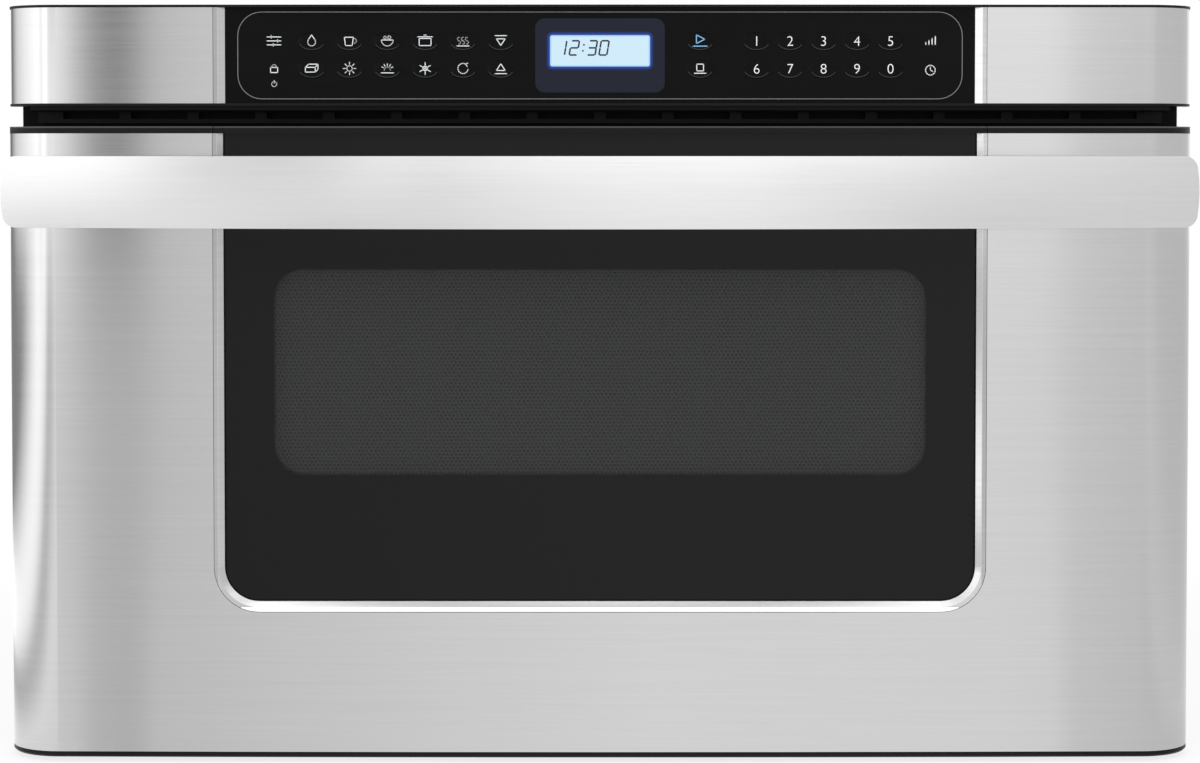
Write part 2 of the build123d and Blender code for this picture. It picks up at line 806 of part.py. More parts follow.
# Waveguide: a flat duct from the magnetron to the feed hole over the dome.
waveguide_back = back_inner - waveguide_back_gap
magnetron_y = (cavity_back + back_inner) / 2
waveguide_top = feed_plane + waveguide_height
waveguide_start = stirrer_y - waveguide_front
with BuildPart() as waveguide:
    with BuildSketch(Plane.XY.offset(feed_plane)):
        with Locations((0, waveguide_start)):
            Rectangle(
                waveguide_width, waveguide_back - waveguide_start, align=(Align.CENTER, Align.MIN)
            )
    extrude(amount=waveguide_height)
    offset(amount=-case_sheet, kind=Kind.INTERSECTION, mode=Mode.SUBTRACT)
    with BuildSketch(Plane.XY.offset(feed_plane)):
        with Locations((0, stirrer_y)):
            RegularPolygon(feed_radius, round_sides)
        with Locations((0, magnetron_y)):
            RegularPolygon(antenna_hole, round_sides)
    extrude(amount=case_sheet, mode=Mode.SUBTRACT)
    with BuildSketch(Plane.XY.offset(waveguide_top)):
        with Locations((0, stirrer_y)):
            RegularPolygon(2 * stirrer_pin, round_sides)
    extrude(amount=-case_sheet, mode=Mode.SUBTRACT)
waveguide.part.label = "waveguide"
export_step(waveguide.part, "parts/waveguide.step")

# Stirrer motor on the waveguide, with the drive pin that the stirrer hangs on.
with BuildPart() as stirrer_motor:
    with BuildSketch(Plane.XY.offset(waveguide_top)):
        with Locations((0, stirrer_y)):
            RegularPolygon(stirrer_motor_radius, round_sides)
    extrude(amount=stirrer_motor_height)
    with Locations((0, stirrer_y, waveguide_top)):
        Box(
            stirrer_tab_span, stirrer_tab_width, case_sheet, align=(Align.CENTER, Align.CENTER, Align.MIN)
        )
        pin_length = waveguide_height - 1.5 * stirrer_end_gap
        Cylinder(stirrer_pin, pin_length, align=(Align.CENTER, Align.CENTER, Align.MAX))
stirrer_motor.part.label = "stirrer_motor"
export_step(stirrer_motor.part, "parts/stirrer_motor.step")

# Mode stirrer: a hub on the pin with pitched blades under the dome.
stirrer_low = cavity_top + stirrer_lift
with BuildPart() as stirrer_blade:
    with BuildSketch(Plane.XY.rotated((blade_pitch, 0, 0))):
        with BuildLine():
            Polyline(
                (0, -blade_root_chord / 2),
                (stirrer_radius, -blade_tip_chord / 2),
                (stirrer_radius, blade_tip_chord / 2),
                (0, blade_root_chord / 2),
                close=True,
            )
        make_face()
    extrude(amount=blade_thickness / 2, both=True)
with BuildPart() as stirrer_fan:
    for hub_part_radius, hub_part_height in (
        (hub_radius, hub_height),
        (stirrer_shaft, waveguide_top - stirrer_end_gap - stirrer_low),
    ):
        with BuildSketch(Plane.XY.offset(stirrer_low)):
            with Locations((0, stirrer_y)):
                RegularPolygon(hub_part_radius, round_sides)
        extrude(amount=hub_part_height)
    with Locations((0, stirrer_y, stirrer_low + 0.6 * hub_height)):
        with PolarLocations(0, blade_count):
            add(stirrer_blade.part)
    with Locations((0, stirrer_y, waveguide_top)):
        Cylinder(
            stirrer_pin + running,
            waveguide_height - stirrer_end_gap,
            align=(Align.CENTER, Align.CENTER, Align.MAX),
            mode=Mode.SUBTRACT,
        )
stirrer_fan.part.label = "stirrer_fan"
export_step(stirrer_fan.part, "parts/stirrer_fan.step")

# Magnetron under the waveguide: yoke, cooling fins, magnets, filter box and the antenna that feeds the duct.
yoke_top = feed_plane
yoke_low = yoke_top - yoke_height
with BuildPart() as magnetron:
    with BuildSketch(Plane.YZ.offset(-yoke_width / 2)):
        with Locations((magnetron_y, yoke_low + yoke_height / 2)):
            Rectangle(yoke_depth, yoke_height)
            Rectangle(yoke_depth - 2 * yoke_sheet, yoke_height - 2 * yoke_sheet, mode=Mode.SUBTRACT)
    extrude(amount=yoke_width)
    with BuildSketch(Plane.XY.offset(yoke_low)):
        with Locations((0, magnetron_y)):
            RegularPolygon(anode_radius, anode_sides)
    extrude(amount=yoke_height)
    for magnet_z in (yoke_low + yoke_sheet, yoke_top - yoke_sheet - magnet_height):
        with BuildSketch(Plane.XY.offset(magnet_z)):
            with Locations((0, magnetron_y)):
                RegularPolygon(magnet_radius, 2 * anode_sides)
        extrude(amount=magnet_height)
    fin_low = yoke_low + yoke_sheet + magnet_height + fin_margin
    fin_pitch = (yoke_height - 2 * (yoke_sheet + magnet_height + fin_margin)) / (fin_count - 1)
    for fin in range(fin_count):
        with Locations((0, magnetron_y, fin_low + fin * fin_pitch)):
            Box(yoke_width - 4 * fin_margin, yoke_depth - yoke_sheet, fin_thickness)
    with Locations((0, magnetron_y, yoke_low)):
        Box(
            filter_box_width,
            filter_box_depth,
            filter_box_height,
            align=(Align.CENTER, Align.CENTER, Align.MAX),
        )
    with BuildSketch(Plane.XY.offset(yoke_top)):
        with Locations((0, magnetron_y)):
            RegularPolygon(antenna_radius, anode_sides)
    extrude(amount=antenna_length)
magnetron.part.label = "magnetron"
export_step(magnetron.part, "parts/magnetron.step")

# High-voltage transformer on the base: a laminated shell core with the coils round its middle leg.
coil_space = (core_width - 4 * core_leg) / 2
with BuildPart() as transformer_core:
    with Locations((transformer_x, magnetron_y, sheet)):
        Box(core_width, core_depth, core_height, align=(Align.CENTER, Align.CENTER, Align.MIN))
        Box(
            core_width + 2 * core_foot,
            core_depth,
            core_foot_sheet,
            align=(Align.CENTER, Align.CENTER, Align.MIN),
        )
    with BuildSketch(facing(magnetron_y + core_depth)):
        with Locations((transformer_x, sheet + core_height / 2)):
            with GridLocations(2 * core_leg + coil_space, 0, 2, 1):
                Rectangle(coil_space, core_height - 2 * core_leg)
    extrude(amount=2 * core_depth, mode=Mode.SUBTRACT)
transformer_core.part.label = "transformer_core"
export_step(transformer_core.part, "parts/transformer_core.step")

# Primary and secondary coil, one above the other round the middle leg.
with BuildPart() as transformer_coils:
    coil_height = (core_height - 2 * core_leg - 3 * coil_gap) / 2
    for coil_z in (sheet + core_leg + coil_gap, sheet + core_height / 2 + coil_gap / 2):
        with BuildSketch(Plane.XY.offset(coil_z)) as coil_outline:
            with Locations((transformer_x, magnetron_y)):
                Rectangle(2 * core_leg + 2 * coil_space - 2 * coil_gap, core_depth + 2 * coil_space)
                chamfer(coil_outline.vertices(), coil_space / 2)
                Rectangle(2 * core_leg + 2 * coil_gap, core_depth + 2 * coil_gap, mode=Mode.SUBTRACT)
        extrude(amount=coil_height)
transformer_coils.part.label = "transformer_coils"
export_step(transformer_coils.part, "parts/transformer_coils.step")

# Oil-filled high-voltage capacitor in its clamp, standing on the base.
with BuildPart() as hv_capacitor:
    with BuildSketch(Plane.XY.offset(sheet)):
        with Locations((capacitor_x, magnetron_y)):
            SlotOverall(capacitor_width, capacitor_depth)
    extrude(amount=capacitor_height)
    with BuildSketch(Plane.XY.offset(sheet)):
        with Locations((capacitor_x, magnetron_y)):
            Rectangle(capacitor_width - capacitor_depth, capacitor_depth + 2 * capacitor_clamp)
            Rectangle(clamp_tab, clamp_span)
    extrude(amount=clamp_height)
    with BuildSketch(Plane.XY.offset(sheet + capacitor_height)):
        with Locations((capacitor_x, magnetron_y)):
            with GridLocations(terminal_pitch, 0, 2, 1):
                Rectangle(terminal_width, terminal_thickness)
    extrude(amount=terminal_height)
hv_capacitor.part.label = "hv_capacitor"
export_step(hv_capacitor.part, "parts/hv_capacitor.step")

# Cooling fan: shroud plate with a duct to the magnetron, motor behind it and a bladed wheel.
fan_z = yoke_low + yoke_height / 2
shroud_depth = back_inner - cavity_back - case_sheet - 2 * fit
shroud_height = 2 * (fan_radius + fan_tip_gap + shroud_rim)
duct_length = -yoke_width / 2 - fan_x - duct_end_gap
shroud_middle = magnetron_y + case_sheet / 2
duct_depth = yoke_depth + 2 * (duct_margin + shroud_sheet)
duct_height = yoke_height + 2 * shroud_sheet


def duct_solid(start, wall):
    """Tapered duct from the shroud plate to the magnetron, less a wall: its side view cut by its plan."""
    end = fan_x + duct_length
    with BuildPart() as duct:
        with BuildSketch(Plane.XZ):
            with BuildLine():
                Polyline(
                    (start, fan_z - shroud_height / 2 + wall),
                    (end, fan_z - duct_height / 2 + wall),
                    (end, fan_z + duct_height / 2 - wall),
                    (start, fan_z + shroud_height / 2 - wall),
                    close=True,
                )
            make_face()
        extrude(amount=-chassis_depth)
        with BuildSketch(Plane.XY.offset(fan_z - shroud_height)):
            with BuildLine():
                Polyline(
                    (start, shroud_middle - shroud_depth / 2 + wall),
                    (end, magnetron_y - duct_depth / 2 + wall),
                    (end, magnetron_y + duct_depth / 2 - wall),
                    (start, shroud_middle + shroud_depth / 2 - wall),
                    close=True,
                )
            make_face()
        extrude(amount=2 * shroud_height, mode=Mode.INTERSECT)
    return duct.part


with BuildPart() as fan_shroud:
    add(duct_solid(fan_x, 0))
    add(duct_solid(fan_x + shroud_sheet, shroud_sheet), mode=Mode.SUBTRACT)
    with BuildSketch(Plane.YZ.offset(fan_x)):
        with Locations((magnetron_y, fan_z)):
            RegularPolygon(fan_radius + fan_tip_gap, 2 * round_sides)
    extrude(amount=shroud_sheet, mode=Mode.SUBTRACT)
fan_shroud.part.label = "fan_shroud"
export_step(fan_shroud.part, "parts/fan_shroud.step")

# Fan motor with its shaft, on two arms that reach back to the shroud.
motor_front = fan_x - fan_width - 2 * fan_clearance
with BuildPart() as fan_motor:
    with BuildSketch(Plane.YZ.offset(motor_front)):
        with Locations((magnetron_y, fan_z)):
            RectangleRounded(fan_motor_width, fan_motor_height, fan_motor_corner)
    extrude(amount=-fan_motor_depth)
    with BuildSketch(Plane.YZ.offset(motor_front)):
        with Locations((magnetron_y, fan_z)):
            Circle(fan_shaft)
    extrude(amount=fan_width + fan_clearance)
    arm_span = shroud_height / 2 - fan_arm_inset
    for arm_side in (-1, 1):
        with BuildSketch(Plane.YZ.offset(motor_front)):
            with Locations((magnetron_y, fan_z + arm_side * (arm_span + fan_arm_thickness / 2) / 2)):
                Rectangle(fan_arm_width, arm_span + fan_arm_thickness / 2)
        extrude(amount=-shroud_sheet)
        with BuildSketch(Plane.YZ.offset(motor_front - shroud_sheet)):
            with Locations((magnetron_y, fan_z + arm_side * arm_span)):
                Rectangle(fan_arm_width, fan_arm_thickness)
        extrude(amount=fan_x - motor_front + shroud_sheet)
fan_motor.part.label = "fan_motor"
export_step(fan_motor.part, "parts/fan_motor.step")

# Fan wheel: pitched vanes on a hub.
with BuildPart() as fan_vane:
    with BuildSketch(Plane.XY.rotated((vane_pitch, 0, 0))):
        with BuildLine():
            Polyline(
                (fan_hub - vane_thickness, -vane_root_chord / 2),
                (fan_radius, -vane_tip_chord / 2),
                (fan_radius, vane_tip_chord / 2),
                (fan_hub - vane_thickness, vane_root_chord / 2),
                close=True,
            )
        make_face()
    extrude(amount=vane_thickness / 2, both=True)
wheel_plane = Plane(
    origin=(motor_front + fan_clearance + fan_width / 2, magnetron_y, fan_z),
    x_dir=(0, 1, 0),
    z_dir=(1, 0, 0),
)
with BuildPart(wheel_plane) as fan_wheel:
    with BuildSketch(wheel_plane):
        RegularPolygon(fan_hub, round_sides)
    extrude(amount=(fan_width - fan_clearance) / 2, both=True)
    with PolarLocations(0, fan_blades):
        add(fan_vane.part)
    Cylinder(fan_shaft + running, 2 * fan_width, mode=Mode.SUBTRACT)
fan_wheel.part.label = "fan_wheel"
export_step(fan_wheel.part, "parts/fan_wheel.step")

# Mains filter board on its posts at the back plate.
filter_y = back_inner - filter_post
with BuildPart() as filter_board:
    with BuildSketch(facing(filter_y)):
        with Locations((filter_x, cord_z)):
            Rectangle(filter_width, filter_height)
    extrude(amount=board_thickness)
    with BuildSketch(facing(back_inner)):
        with Locations((filter_x, cord_z)):
            post_pitch_x = filter_width - 2 * filter_post_inset
            post_pitch_z = filter_height - 2 * filter_post_inset
            with GridLocations(post_pitch_x, post_pitch_z, 2, 2):
                Rectangle(2 * filter_post_radius, 2 * filter_post_radius)
    extrude(amount=filter_post)
    with BuildSketch(facing(filter_y - board_thickness)):
        with Locations((filter_x - filter_part_offset, cord_z)):
            RegularPolygon(filter_coil_radius, round_sides)
    extrude(amount=filter_coil_height)
    with BuildSketch(facing(filter_y - board_thickness)):
        with Locations((filter_x + filter_part_offset, cord_z)):
            Rectangle(filter_can_width, filter_can_height)
    extrude(amount=filter_can_depth)
filter_board.part.label = "filter_board"
export_step(filter_board.part, "parts/filter_board.step")

# Oven lamp in its holder above the light holes of the ceiling.
lamp_seat = cavity_top + case_sheet
with BuildPart() as oven_lamp:
    with BuildSketch(Plane.XY.offset(lamp_seat)):
        with Locations((lamp_x, stirrer_y)):
            Rectangle(lamp_base_width, lamp_base_depth)
            Rectangle(
                lamp_base_width - 2 * lamp_base_rim, lamp_base_depth - lamp_base_rim, mode=Mode.SUBTRACT
            )
    extrude(amount=lamp_base_height)
    with Locations((lamp_x + lamp_socket_x, stirrer_y, lamp_seat)):
        Box(
            lamp_socket_width,
            lamp_base_depth,
            lamp_socket_height,
            align=(Align.MIN, Align.CENTER, Align.MIN),
        )
    with BuildSketch(Plane.YZ.offset(lamp_x + lamp_socket_x)):
        with Locations((stirrer_y, lamp_seat + bulb_height)):
            RegularPolygon(bulb_radius, round_sides)
    extrude(amount=-bulb_length)
oven_lamp.part.label = "oven_lamp"
export_step(oven_lamp.part, "parts/oven_lamp.step")

# ---------------------------------------------------------------- slides, latches and drive

slide_front = mount_y + slide_setback
slide_back = slide_front + slide_length
ball_track = 2 * (ball_radius + ball_play)
middle_height = slide_height - 2 * slide_sheet - 2 * ball_track
inner_height = middle_height - 2 * slide_sheet - 2 * ball_track
middle_web = slide_sheet + web_gap
middle_tip = slide_thickness - middle_mouth
inner_tip = middle_web + slide_sheet + inner_overlap
fixed_tip = slide_thickness - fixed_mouth


def rail_section(web, tip, height):
    """Section of the right-hand rail: a C whose web and flange tips are this far from the fixed face."""
    side = Align.MAX if tip > web else Align.MIN
    inside = web + slide_sheet if tip > web else web - slide_sheet
    with BuildSketch() as section:
        with Locations((slide_outer - web, slide_z)):
            Rectangle(abs(tip - web), height, align=(side, Align.CENTER))
        with Locations((slide_outer - inside, slide_z)):
            Rectangle(
                abs(tip - web), height - 2 * slide_sheet, align=(side, Align.CENTER), mode=Mode.SUBTRACT
            )
    return section.sketch


# Fixed rail, screwed to the side wall of the base pan, with inturned lips that keep the balls in.
with BuildPart() as slide_fixed_right:
    with BuildSketch(facing(slide_front)):
        add(rail_section(0, fixed_tip, slide_height))
        with Locations((slide_outer - fixed_tip, slide_z)):
            with GridLocations(0, slide_height - 2 * slide_sheet - ball_track / 2, 1, 2):
                Rectangle(slide_sheet, ball_track / 2, align=(Align.MIN, Align.CENTER))
    extrude(amount=-slide_length)
slide_fixed_right.part.label = "slide_fixed_right"
export_step(slide_fixed_right.part, "parts/slide_fixed_right.step")

# Middle rail, which travels half as far as the drawer.
with BuildPart() as slide_middle_right:
    with BuildSketch(facing(slide_front)):
        add(rail_section(middle_web, middle_tip, middle_height))
    extrude(amount=-slide_length)
slide_middle_right.part.label = "slide_middle_right"
export_step(slide_middle_right.part, "parts/slide_middle_right.step")

# Inner rail, bolted to the drawer by its bracket.
inner_front = choke_plate_back + arm_sheet + fit
inner_back = inner_front + slide_length
with BuildPart() as slide_inner_right:
    with BuildSketch(facing(inner_front)):
        add(rail_section(slide_thickness, inner_tip, inner_height))
    extrude(amount=-slide_length)
slide_inner_right.part.label = "slide_inner_right"
export_step(slide_inner_right.part, "parts/slide_inner_right.step")


# A ball in few faces: an octagonal prism as wide as the ball, chamfered to an octagon in the other views too.
ball_flat = ball_radius * cos(pi / ball_sides)
with BuildPart() as slide_ball:
    with BuildSketch(Plane.YZ.offset(-ball_flat)):
        RegularPolygon(ball_radius, ball_sides, rotation=180 / ball_sides)
    extrude(amount=2 * ball_flat)
    chamfer(slide_ball.faces().filter_by(Axis.X).edges(), ball_flat - ball_radius * sin(pi / ball_sides))


def cage_solid(web, tip, row_x, row_height, back):
    """Right-hand ball cage: a thin C whose web and tips are this far from the fixed face, with its balls."""
    with BuildPart() as cage:
        with BuildSketch(facing(back - cage_length)):
            cage_height = row_height + 2 * cage_sheet
            with Locations((slide_outer - web, slide_z)):
                Rectangle(tip - web, cage_height, align=(Align.MAX, Align.CENTER))
            with Locations((slide_outer - web - cage_sheet, slide_z)):
                Rectangle(
                    tip - web,
                    cage_height - 4 * cage_sheet,
                    align=(Align.MAX, Align.CENTER),
                    mode=Mode.SUBTRACT,
                )
        extrude(amount=-cage_length)
        ball_pitch = cage_length / ball_count
        for row_side in (-1, 1):
            for ball in range(ball_count):
                ball_y = back - (ball + 0.5) * ball_pitch
                with Locations((slide_outer - row_x, ball_y, slide_z + row_side * row_height / 2)):
                    add(slide_ball.part)
    return cage.part


# Ball cages between fixed and middle rail, and between middle and inner rail.
outer_row = slide_height - 2 * slide_sheet - ball_track
inner_row = middle_height - 2 * slide_sheet - ball_track
cage_webs = (slide_sheet + (web_gap - cage_sheet) / 2, middle_web + slide_sheet + cage_sheet)
with BuildPart() as cage_outer_right:
    outer_row_x = (middle_web + middle_tip) / 2
    add(cage_solid(cage_webs[0], middle_tip - 1, outer_row_x, outer_row, slide_back - travel / 4))
cage_outer_right.part.label = "cage_outer_right"
export_step(cage_outer_right.part, "parts/cage_outer_right.step")
with BuildPart() as cage_inner_right:
    inner_row_x = (inner_tip + middle_tip) / 2
    add(cage_solid(cage_webs[1], middle_tip, inner_row_x, inner_row, inner_back - travel / 4))
cage_inner_right.part.label = "cage_inner_right"
export_step(cage_inner_right.part, "parts/cage_inner_right.step")

# The left side is the mirror image of the right.
right_pieces = (slide_fixed_right, slide_middle_right, slide_inner_right, cage_outer_right, cage_inner_right)
for right_piece in right_pieces:
    left_name = right_piece.part.label.replace("right", "left")
    with BuildPart() as left_piece:
        mirror(right_piece.part, about=Plane.YZ)
    left_piece.part.label = left_name
    export_step(left_piece.part, f"parts/{left_name}.step")

# Angle brackets that bolt the inner rails to the choke plate.
with BuildPart() as slide_arms:
    arm_height = inner_height - 2 * arm_margin
    arm_inner = slide_outer - slide_thickness - arm_sheet
    with BuildSketch(Plane.XY.offset(slide_z - arm_height / 2)):
        with Locations((arm_inner, choke_plate_back)):
            Rectangle(arm_sheet, arm_length, align=(Align.MIN, Align.MIN))
            Rectangle(slide_thickness + arm_sheet, arm_sheet, align=(Align.MIN, Align.MIN))
    extrude(amount=arm_height)
    mirror(about=Plane.YZ)
slide_arms.part.label = "slide_arms"
export_step(slide_arms.part, "parts/slide_arms.step")

# Latch hooks on the choke plate: a shank with a nose that works the door switches.
with BuildPart() as latch_hooks:
    with BuildSketch(Plane.YZ.offset(latch_x - latch_width / 2)):
        with BuildLine():
            Polyline(
                (choke_plate_back, latch_z - latch_height / 2),
                (choke_plate_back + sheet, latch_z - latch_height / 2),
                (choke_plate_back + sheet, latch_z - latch_height / 8),
                (choke_plate_back + hook_length - hook_nose, latch_z - latch_height / 8),
                (choke_plate_back + hook_length - hook_nose + hook_slope, latch_z - latch_height / 2),
                (choke_plate_back + hook_length, latch_z + latch_height / 8),
                (choke_plate_back + hook_length, latch_z + latch_height / 3),
                (choke_plate_back + sheet, latch_z + latch_height / 3),
                (choke_plate_back + sheet, latch_z + latch_height / 2),
                (choke_plate_back, latch_z + latch_height / 2),
                close=True,
            )
        make_face()
    extrude(amount=latch_width)
    mirror(about=Plane.YZ)
latch_hooks.part.label = "latch_hooks"
export_step(latch_hooks.part, "parts/latch_hooks.step")

# Door switches on moulded brackets behind the front frame, beside and behind the hooks.
with BuildPart() as door_switches:
    bracket_inner = latch_x - latch_width / 2 - 2 * slot_margin - bracket_sheet
    bracket_depth = hook_length + bracket_behind_hook
    with BuildSketch(facing(mount_y)):
        with Locations((bracket_inner, latch_z)):
            Rectangle(bracket_sheet, 4 * latch_height, align=(Align.MIN, Align.CENTER))
        with Locations((bracket_inner - bracket_flange, latch_z)):
            with GridLocations(0, 3 * latch_height, 1, 2):
                Rectangle(bracket_flange + bracket_sheet, latch_height, align=(Align.MIN, Align.CENTER))
    extrude(amount=-bracket_sheet)
    with BuildSketch(facing(mount_y)):
        with Locations((bracket_inner, latch_z)):
            Rectangle(bracket_sheet, 4 * latch_height, align=(Align.MIN, Align.CENTER))
    extrude(amount=-bracket_depth)
    switch_front = choke_plate_back + hook_length + switch_gap
    for switch_z in (latch_z, latch_z - switch_spacing):
        with Locations((bracket_inner + bracket_sheet, switch_front, switch_z)):
            Box(switch_width, switch_depth, switch_height, align=(Align.MIN, Align.MIN, Align.CENTER))
    with BuildSketch(facing(switch_front)):
        with Locations((bracket_inner + bracket_sheet + switch_width / 2, latch_z)):
            Rectangle(2 * plunger_radius, 2 * plunger_radius)
    extrude(amount=switch_gap - fit)
    mirror(about=Plane.YZ)
door_switches.part.label = "door_switches"
export_step(door_switches.part, "parts/door_switches.step")

# Drive: an involute pinion below a rack whose teeth point down.
tooth_pitch = pi * gear_module
pitch_radius = gear_module * pinion_teeth / 2
addendum = 0.9 * gear_module
dedendum = 1.25 * gear_module
pinion_y = mount_y + pinion_behind_flange
base_radius = pitch_radius * cos(radians(pressure_angle))


def involute(angle):
    """The involute function of a pressure angle in radians."""
    return tan(angle) - angle


def flank_point(radius, side):
    """Point of one flank of a tooth that points along local x."""
    half_tooth = (tooth_pitch / 2 - backlash) / 2 / pitch_radius + involute(radians(pressure_angle))
    turn = side * (half_tooth - involute(acos(base_radius / radius)))
    return (radius * cos(turn), radius * sin(turn))


# One tooth of the pinion: each flank runs through three points of its involute, in few faces.
tip_radius = pitch_radius + addendum
root_radius = pitch_radius - dedendum
with BuildSketch() as pinion_tooth:
    with BuildLine():
        rise = [flank_point(radius, -1) for radius in (base_radius, pitch_radius, tip_radius)]
        fall = [flank_point(radius, 1) for radius in (tip_radius, pitch_radius, base_radius)]
        Polyline(*rise, *fall, (0, 0), close=True)
    make_face()

# At rest a gap of the pinion faces straight up, and a tooth of the rack hangs in it.
pinion_plane = Plane(
    origin=(drive_x - gear_width / 2, pinion_y, pinion_height), x_dir=(0, 1, 0), z_dir=(1, 0, 0)
)
with BuildPart() as drive_pinion:
    with BuildSketch(pinion_plane):
        Circle(root_radius)
        with PolarLocations(0, pinion_teeth, start_angle=90 + 180 / pinion_teeth):
            add(pinion_tooth.sketch)
    extrude(amount=gear_width)
    with BuildSketch(pinion_plane):
        Circle(pinion_shaft)
    extrude(amount=gear_width + shaft_length)
drive_pinion.part.label = "drive_pinion"
export_step(drive_pinion.part, "parts/drive_pinion.step")

# Rack: a bar bolted to the choke plate by its foot, toothed for the whole travel.
half_tooth = (tooth_pitch / 2 - backlash) / 2
lean = tan(radians(pressure_angle))
rack_teeth = int(travel / tooth_pitch) + 5
rack_back = pinion_y + travel + rack_tail
with BuildSketch() as rack_tooth:
    with BuildLine():
        Polyline(
            (-half_tooth - dedendum * lean, dedendum),
            (-half_tooth + addendum * lean, -addendum),
            (half_tooth - addendum * lean, -addendum),
            (half_tooth + dedendum * lean, dedendum),
            close=True,
        )
    make_face()
with BuildPart() as drive_rack:
    with BuildSketch(Plane.YZ.offset(drive_x - gear_width / 2)):
        with Locations((choke_plate_back, rack_pitch_z + dedendum)):
            Rectangle(rack_back - choke_plate_back, rack_web - dedendum, align=(Align.MIN, Align.MIN))
        with Locations((pinion_y - 2 * tooth_pitch, rack_pitch_z)):
            with GridLocations(tooth_pitch, 0, rack_teeth, 1, align=(Align.MIN, Align.CENTER)):
                add(rack_tooth.sketch)
        with Locations((choke_plate_back, rack_top)):
            Rectangle(arm_sheet, 2 * rack_web, align=(Align.MIN, Align.MAX))
    extrude(amount=gear_width)
drive_rack.part.label = "drive_rack"
export_step(drive_rack.part, "parts/drive_rack.step")

# Drive motor: gearbox on the base, with a bore for the pinion's shaft and a shoe that keeps the rack down.
gearbox_x = drive_x + gear_width / 2 + gearbox_gap
gearbox_top = rack_top + shoe_gap + shoe_thickness
with BuildPart() as drive_motor:
    with Locations((gearbox_x, mount_y + gearbox_gap, sheet)):
        Box(gearbox_width, gearbox_depth, gearbox_top - sheet, align=(Align.MIN, Align.MIN, Align.MIN))
    chamfer(drive_motor.edges().filter_by(Axis.Z), gearbox_corner)
    with Locations((gearbox_x, pinion_y, gearbox_top)):
        Box(
            gear_width + shoe_over_rack,
            shoe_depth,
            shoe_thickness,
            align=(Align.MAX, Align.CENTER, Align.MAX),
        )
    with BuildSketch(Plane.YZ.offset(gearbox_x + gearbox_width)):
        with Locations((pinion_y + motor_behind_pinion, motor_height)):
            RegularPolygon(motor_radius, round_sides)
    extrude(amount=motor_length)
    with BuildSketch(Plane.YZ.offset(gearbox_x)):
        with Locations((pinion_y, pinion_height)):
            Circle(pinion_shaft + running)
    extrude(amount=shaft_length + 1, mode=Mode.SUBTRACT)
drive_motor.part.label = "drive_motor"
export_step(drive_motor.part, "parts/drive_motor.step")

# ---------------------------------------------------------------- control panel

panel_low = panel_bottom + edge_bottom
panel_high = panel_top - edge_top
panel_body = panel_high - panel_low
panel_middle = (panel_low + panel_high) / 2
fascia_front = panel_front + fascia_setback
fascia_back = fascia_front + fascia_thickness
trim_outer = glass_width / 2 + trim_width

# Moulded housing: a shell open at the back, with a pocket for the fascia and an opening for the display.
with BuildPart() as housing_hollow:
    with BuildSketch(Plane.XY.offset(panel_low + moulding)):
        add(face_plan(panel_front, frame_front, skin + fit + moulding))
    extrude(amount=panel_body - 2 * moulding)
    with BuildSketch(Plane.XY.offset(panel_low)):
        with Locations((0, fascia_back + fit + moulding)):
            Rectangle(2 * (trim_outer + fit + moulding), face_corner, align=(Align.CENTER, Align.MAX))
    extrude(amount=panel_body, mode=Mode.SUBTRACT)
with BuildPart() as control_housing:
    with BuildSketch(Plane.XY.offset(panel_low)):
        add(face_plan(panel_front, frame_front, skin + fit))
        with Locations((0, fascia_back + fit)):
            Rectangle(
                2 * (trim_outer + fit), face_corner, align=(Align.CENTER, Align.MAX), mode=Mode.SUBTRACT
            )
    extrude(amount=panel_body)
    add(housing_hollow.part, mode=Mode.SUBTRACT)
    with BuildSketch(facing(fascia_back)):
        with Locations((0, panel_middle + lcd_above_centre)):
            Rectangle(lcd_width + 1, lcd_height + 1)
    extrude(amount=-2 * moulding, mode=Mode.SUBTRACT)
control_housing.part.label = "control_housing"
export_step(control_housing.part, "parts/control_housing.step")

# Brushed steel caps round both ends of the panel.
with BuildPart() as panel_end_caps:
    with BuildSketch(Plane.XY.offset(panel_low)):
        add(face_plan(panel_front, frame_front - fit))
        add(face_plan(panel_front, frame_front, skin), mode=Mode.SUBTRACT)
        with Locations((0, panel_front)):
            Rectangle(2 * (trim_outer + fit), 3 * face_corner, mode=Mode.SUBTRACT)
    extrude(amount=panel_body)
panel_end_caps.part.label = "panel_end_caps"
export_step(panel_end_caps.part, "parts/panel_end_caps.step")

# Two bright upright trims, bevelled towards the fascia, in line with the glass trim below.
with BuildPart() as panel_trims:
    with BuildSketch(Plane.XY.offset(panel_low)):
        with BuildLine():
            Polyline(
                (trim_outer, fascia_back),
                (trim_outer, panel_front + trim_setback),
                (trim_outer - trim_width + trim_bevel, panel_front + trim_setback),
                (trim_outer - trim_width, fascia_front),
                (trim_outer - trim_width, fascia_back),
                close=True,
            )
        make_face()
    extrude(amount=panel_body)
    mirror(about=Plane.YZ)
panel_trims.part.label = "panel_trims"
export_step(panel_trims.part, "parts/panel_trims.step")

# Black fascia plate with the display opening.
with BuildPart() as fascia:
    with BuildSketch(facing(fascia_back)):
        with Locations((0, panel_middle)):
            Rectangle(glass_width - 2 * fit, panel_body)
        with Locations((0, panel_middle + lcd_above_centre)):
            Rectangle(lcd_width + 1, lcd_height + 1, mode=Mode.SUBTRACT)
    extrude(amount=fascia_thickness)
fascia.part.label = "fascia"
export_step(fascia.part, "parts/fascia.step")

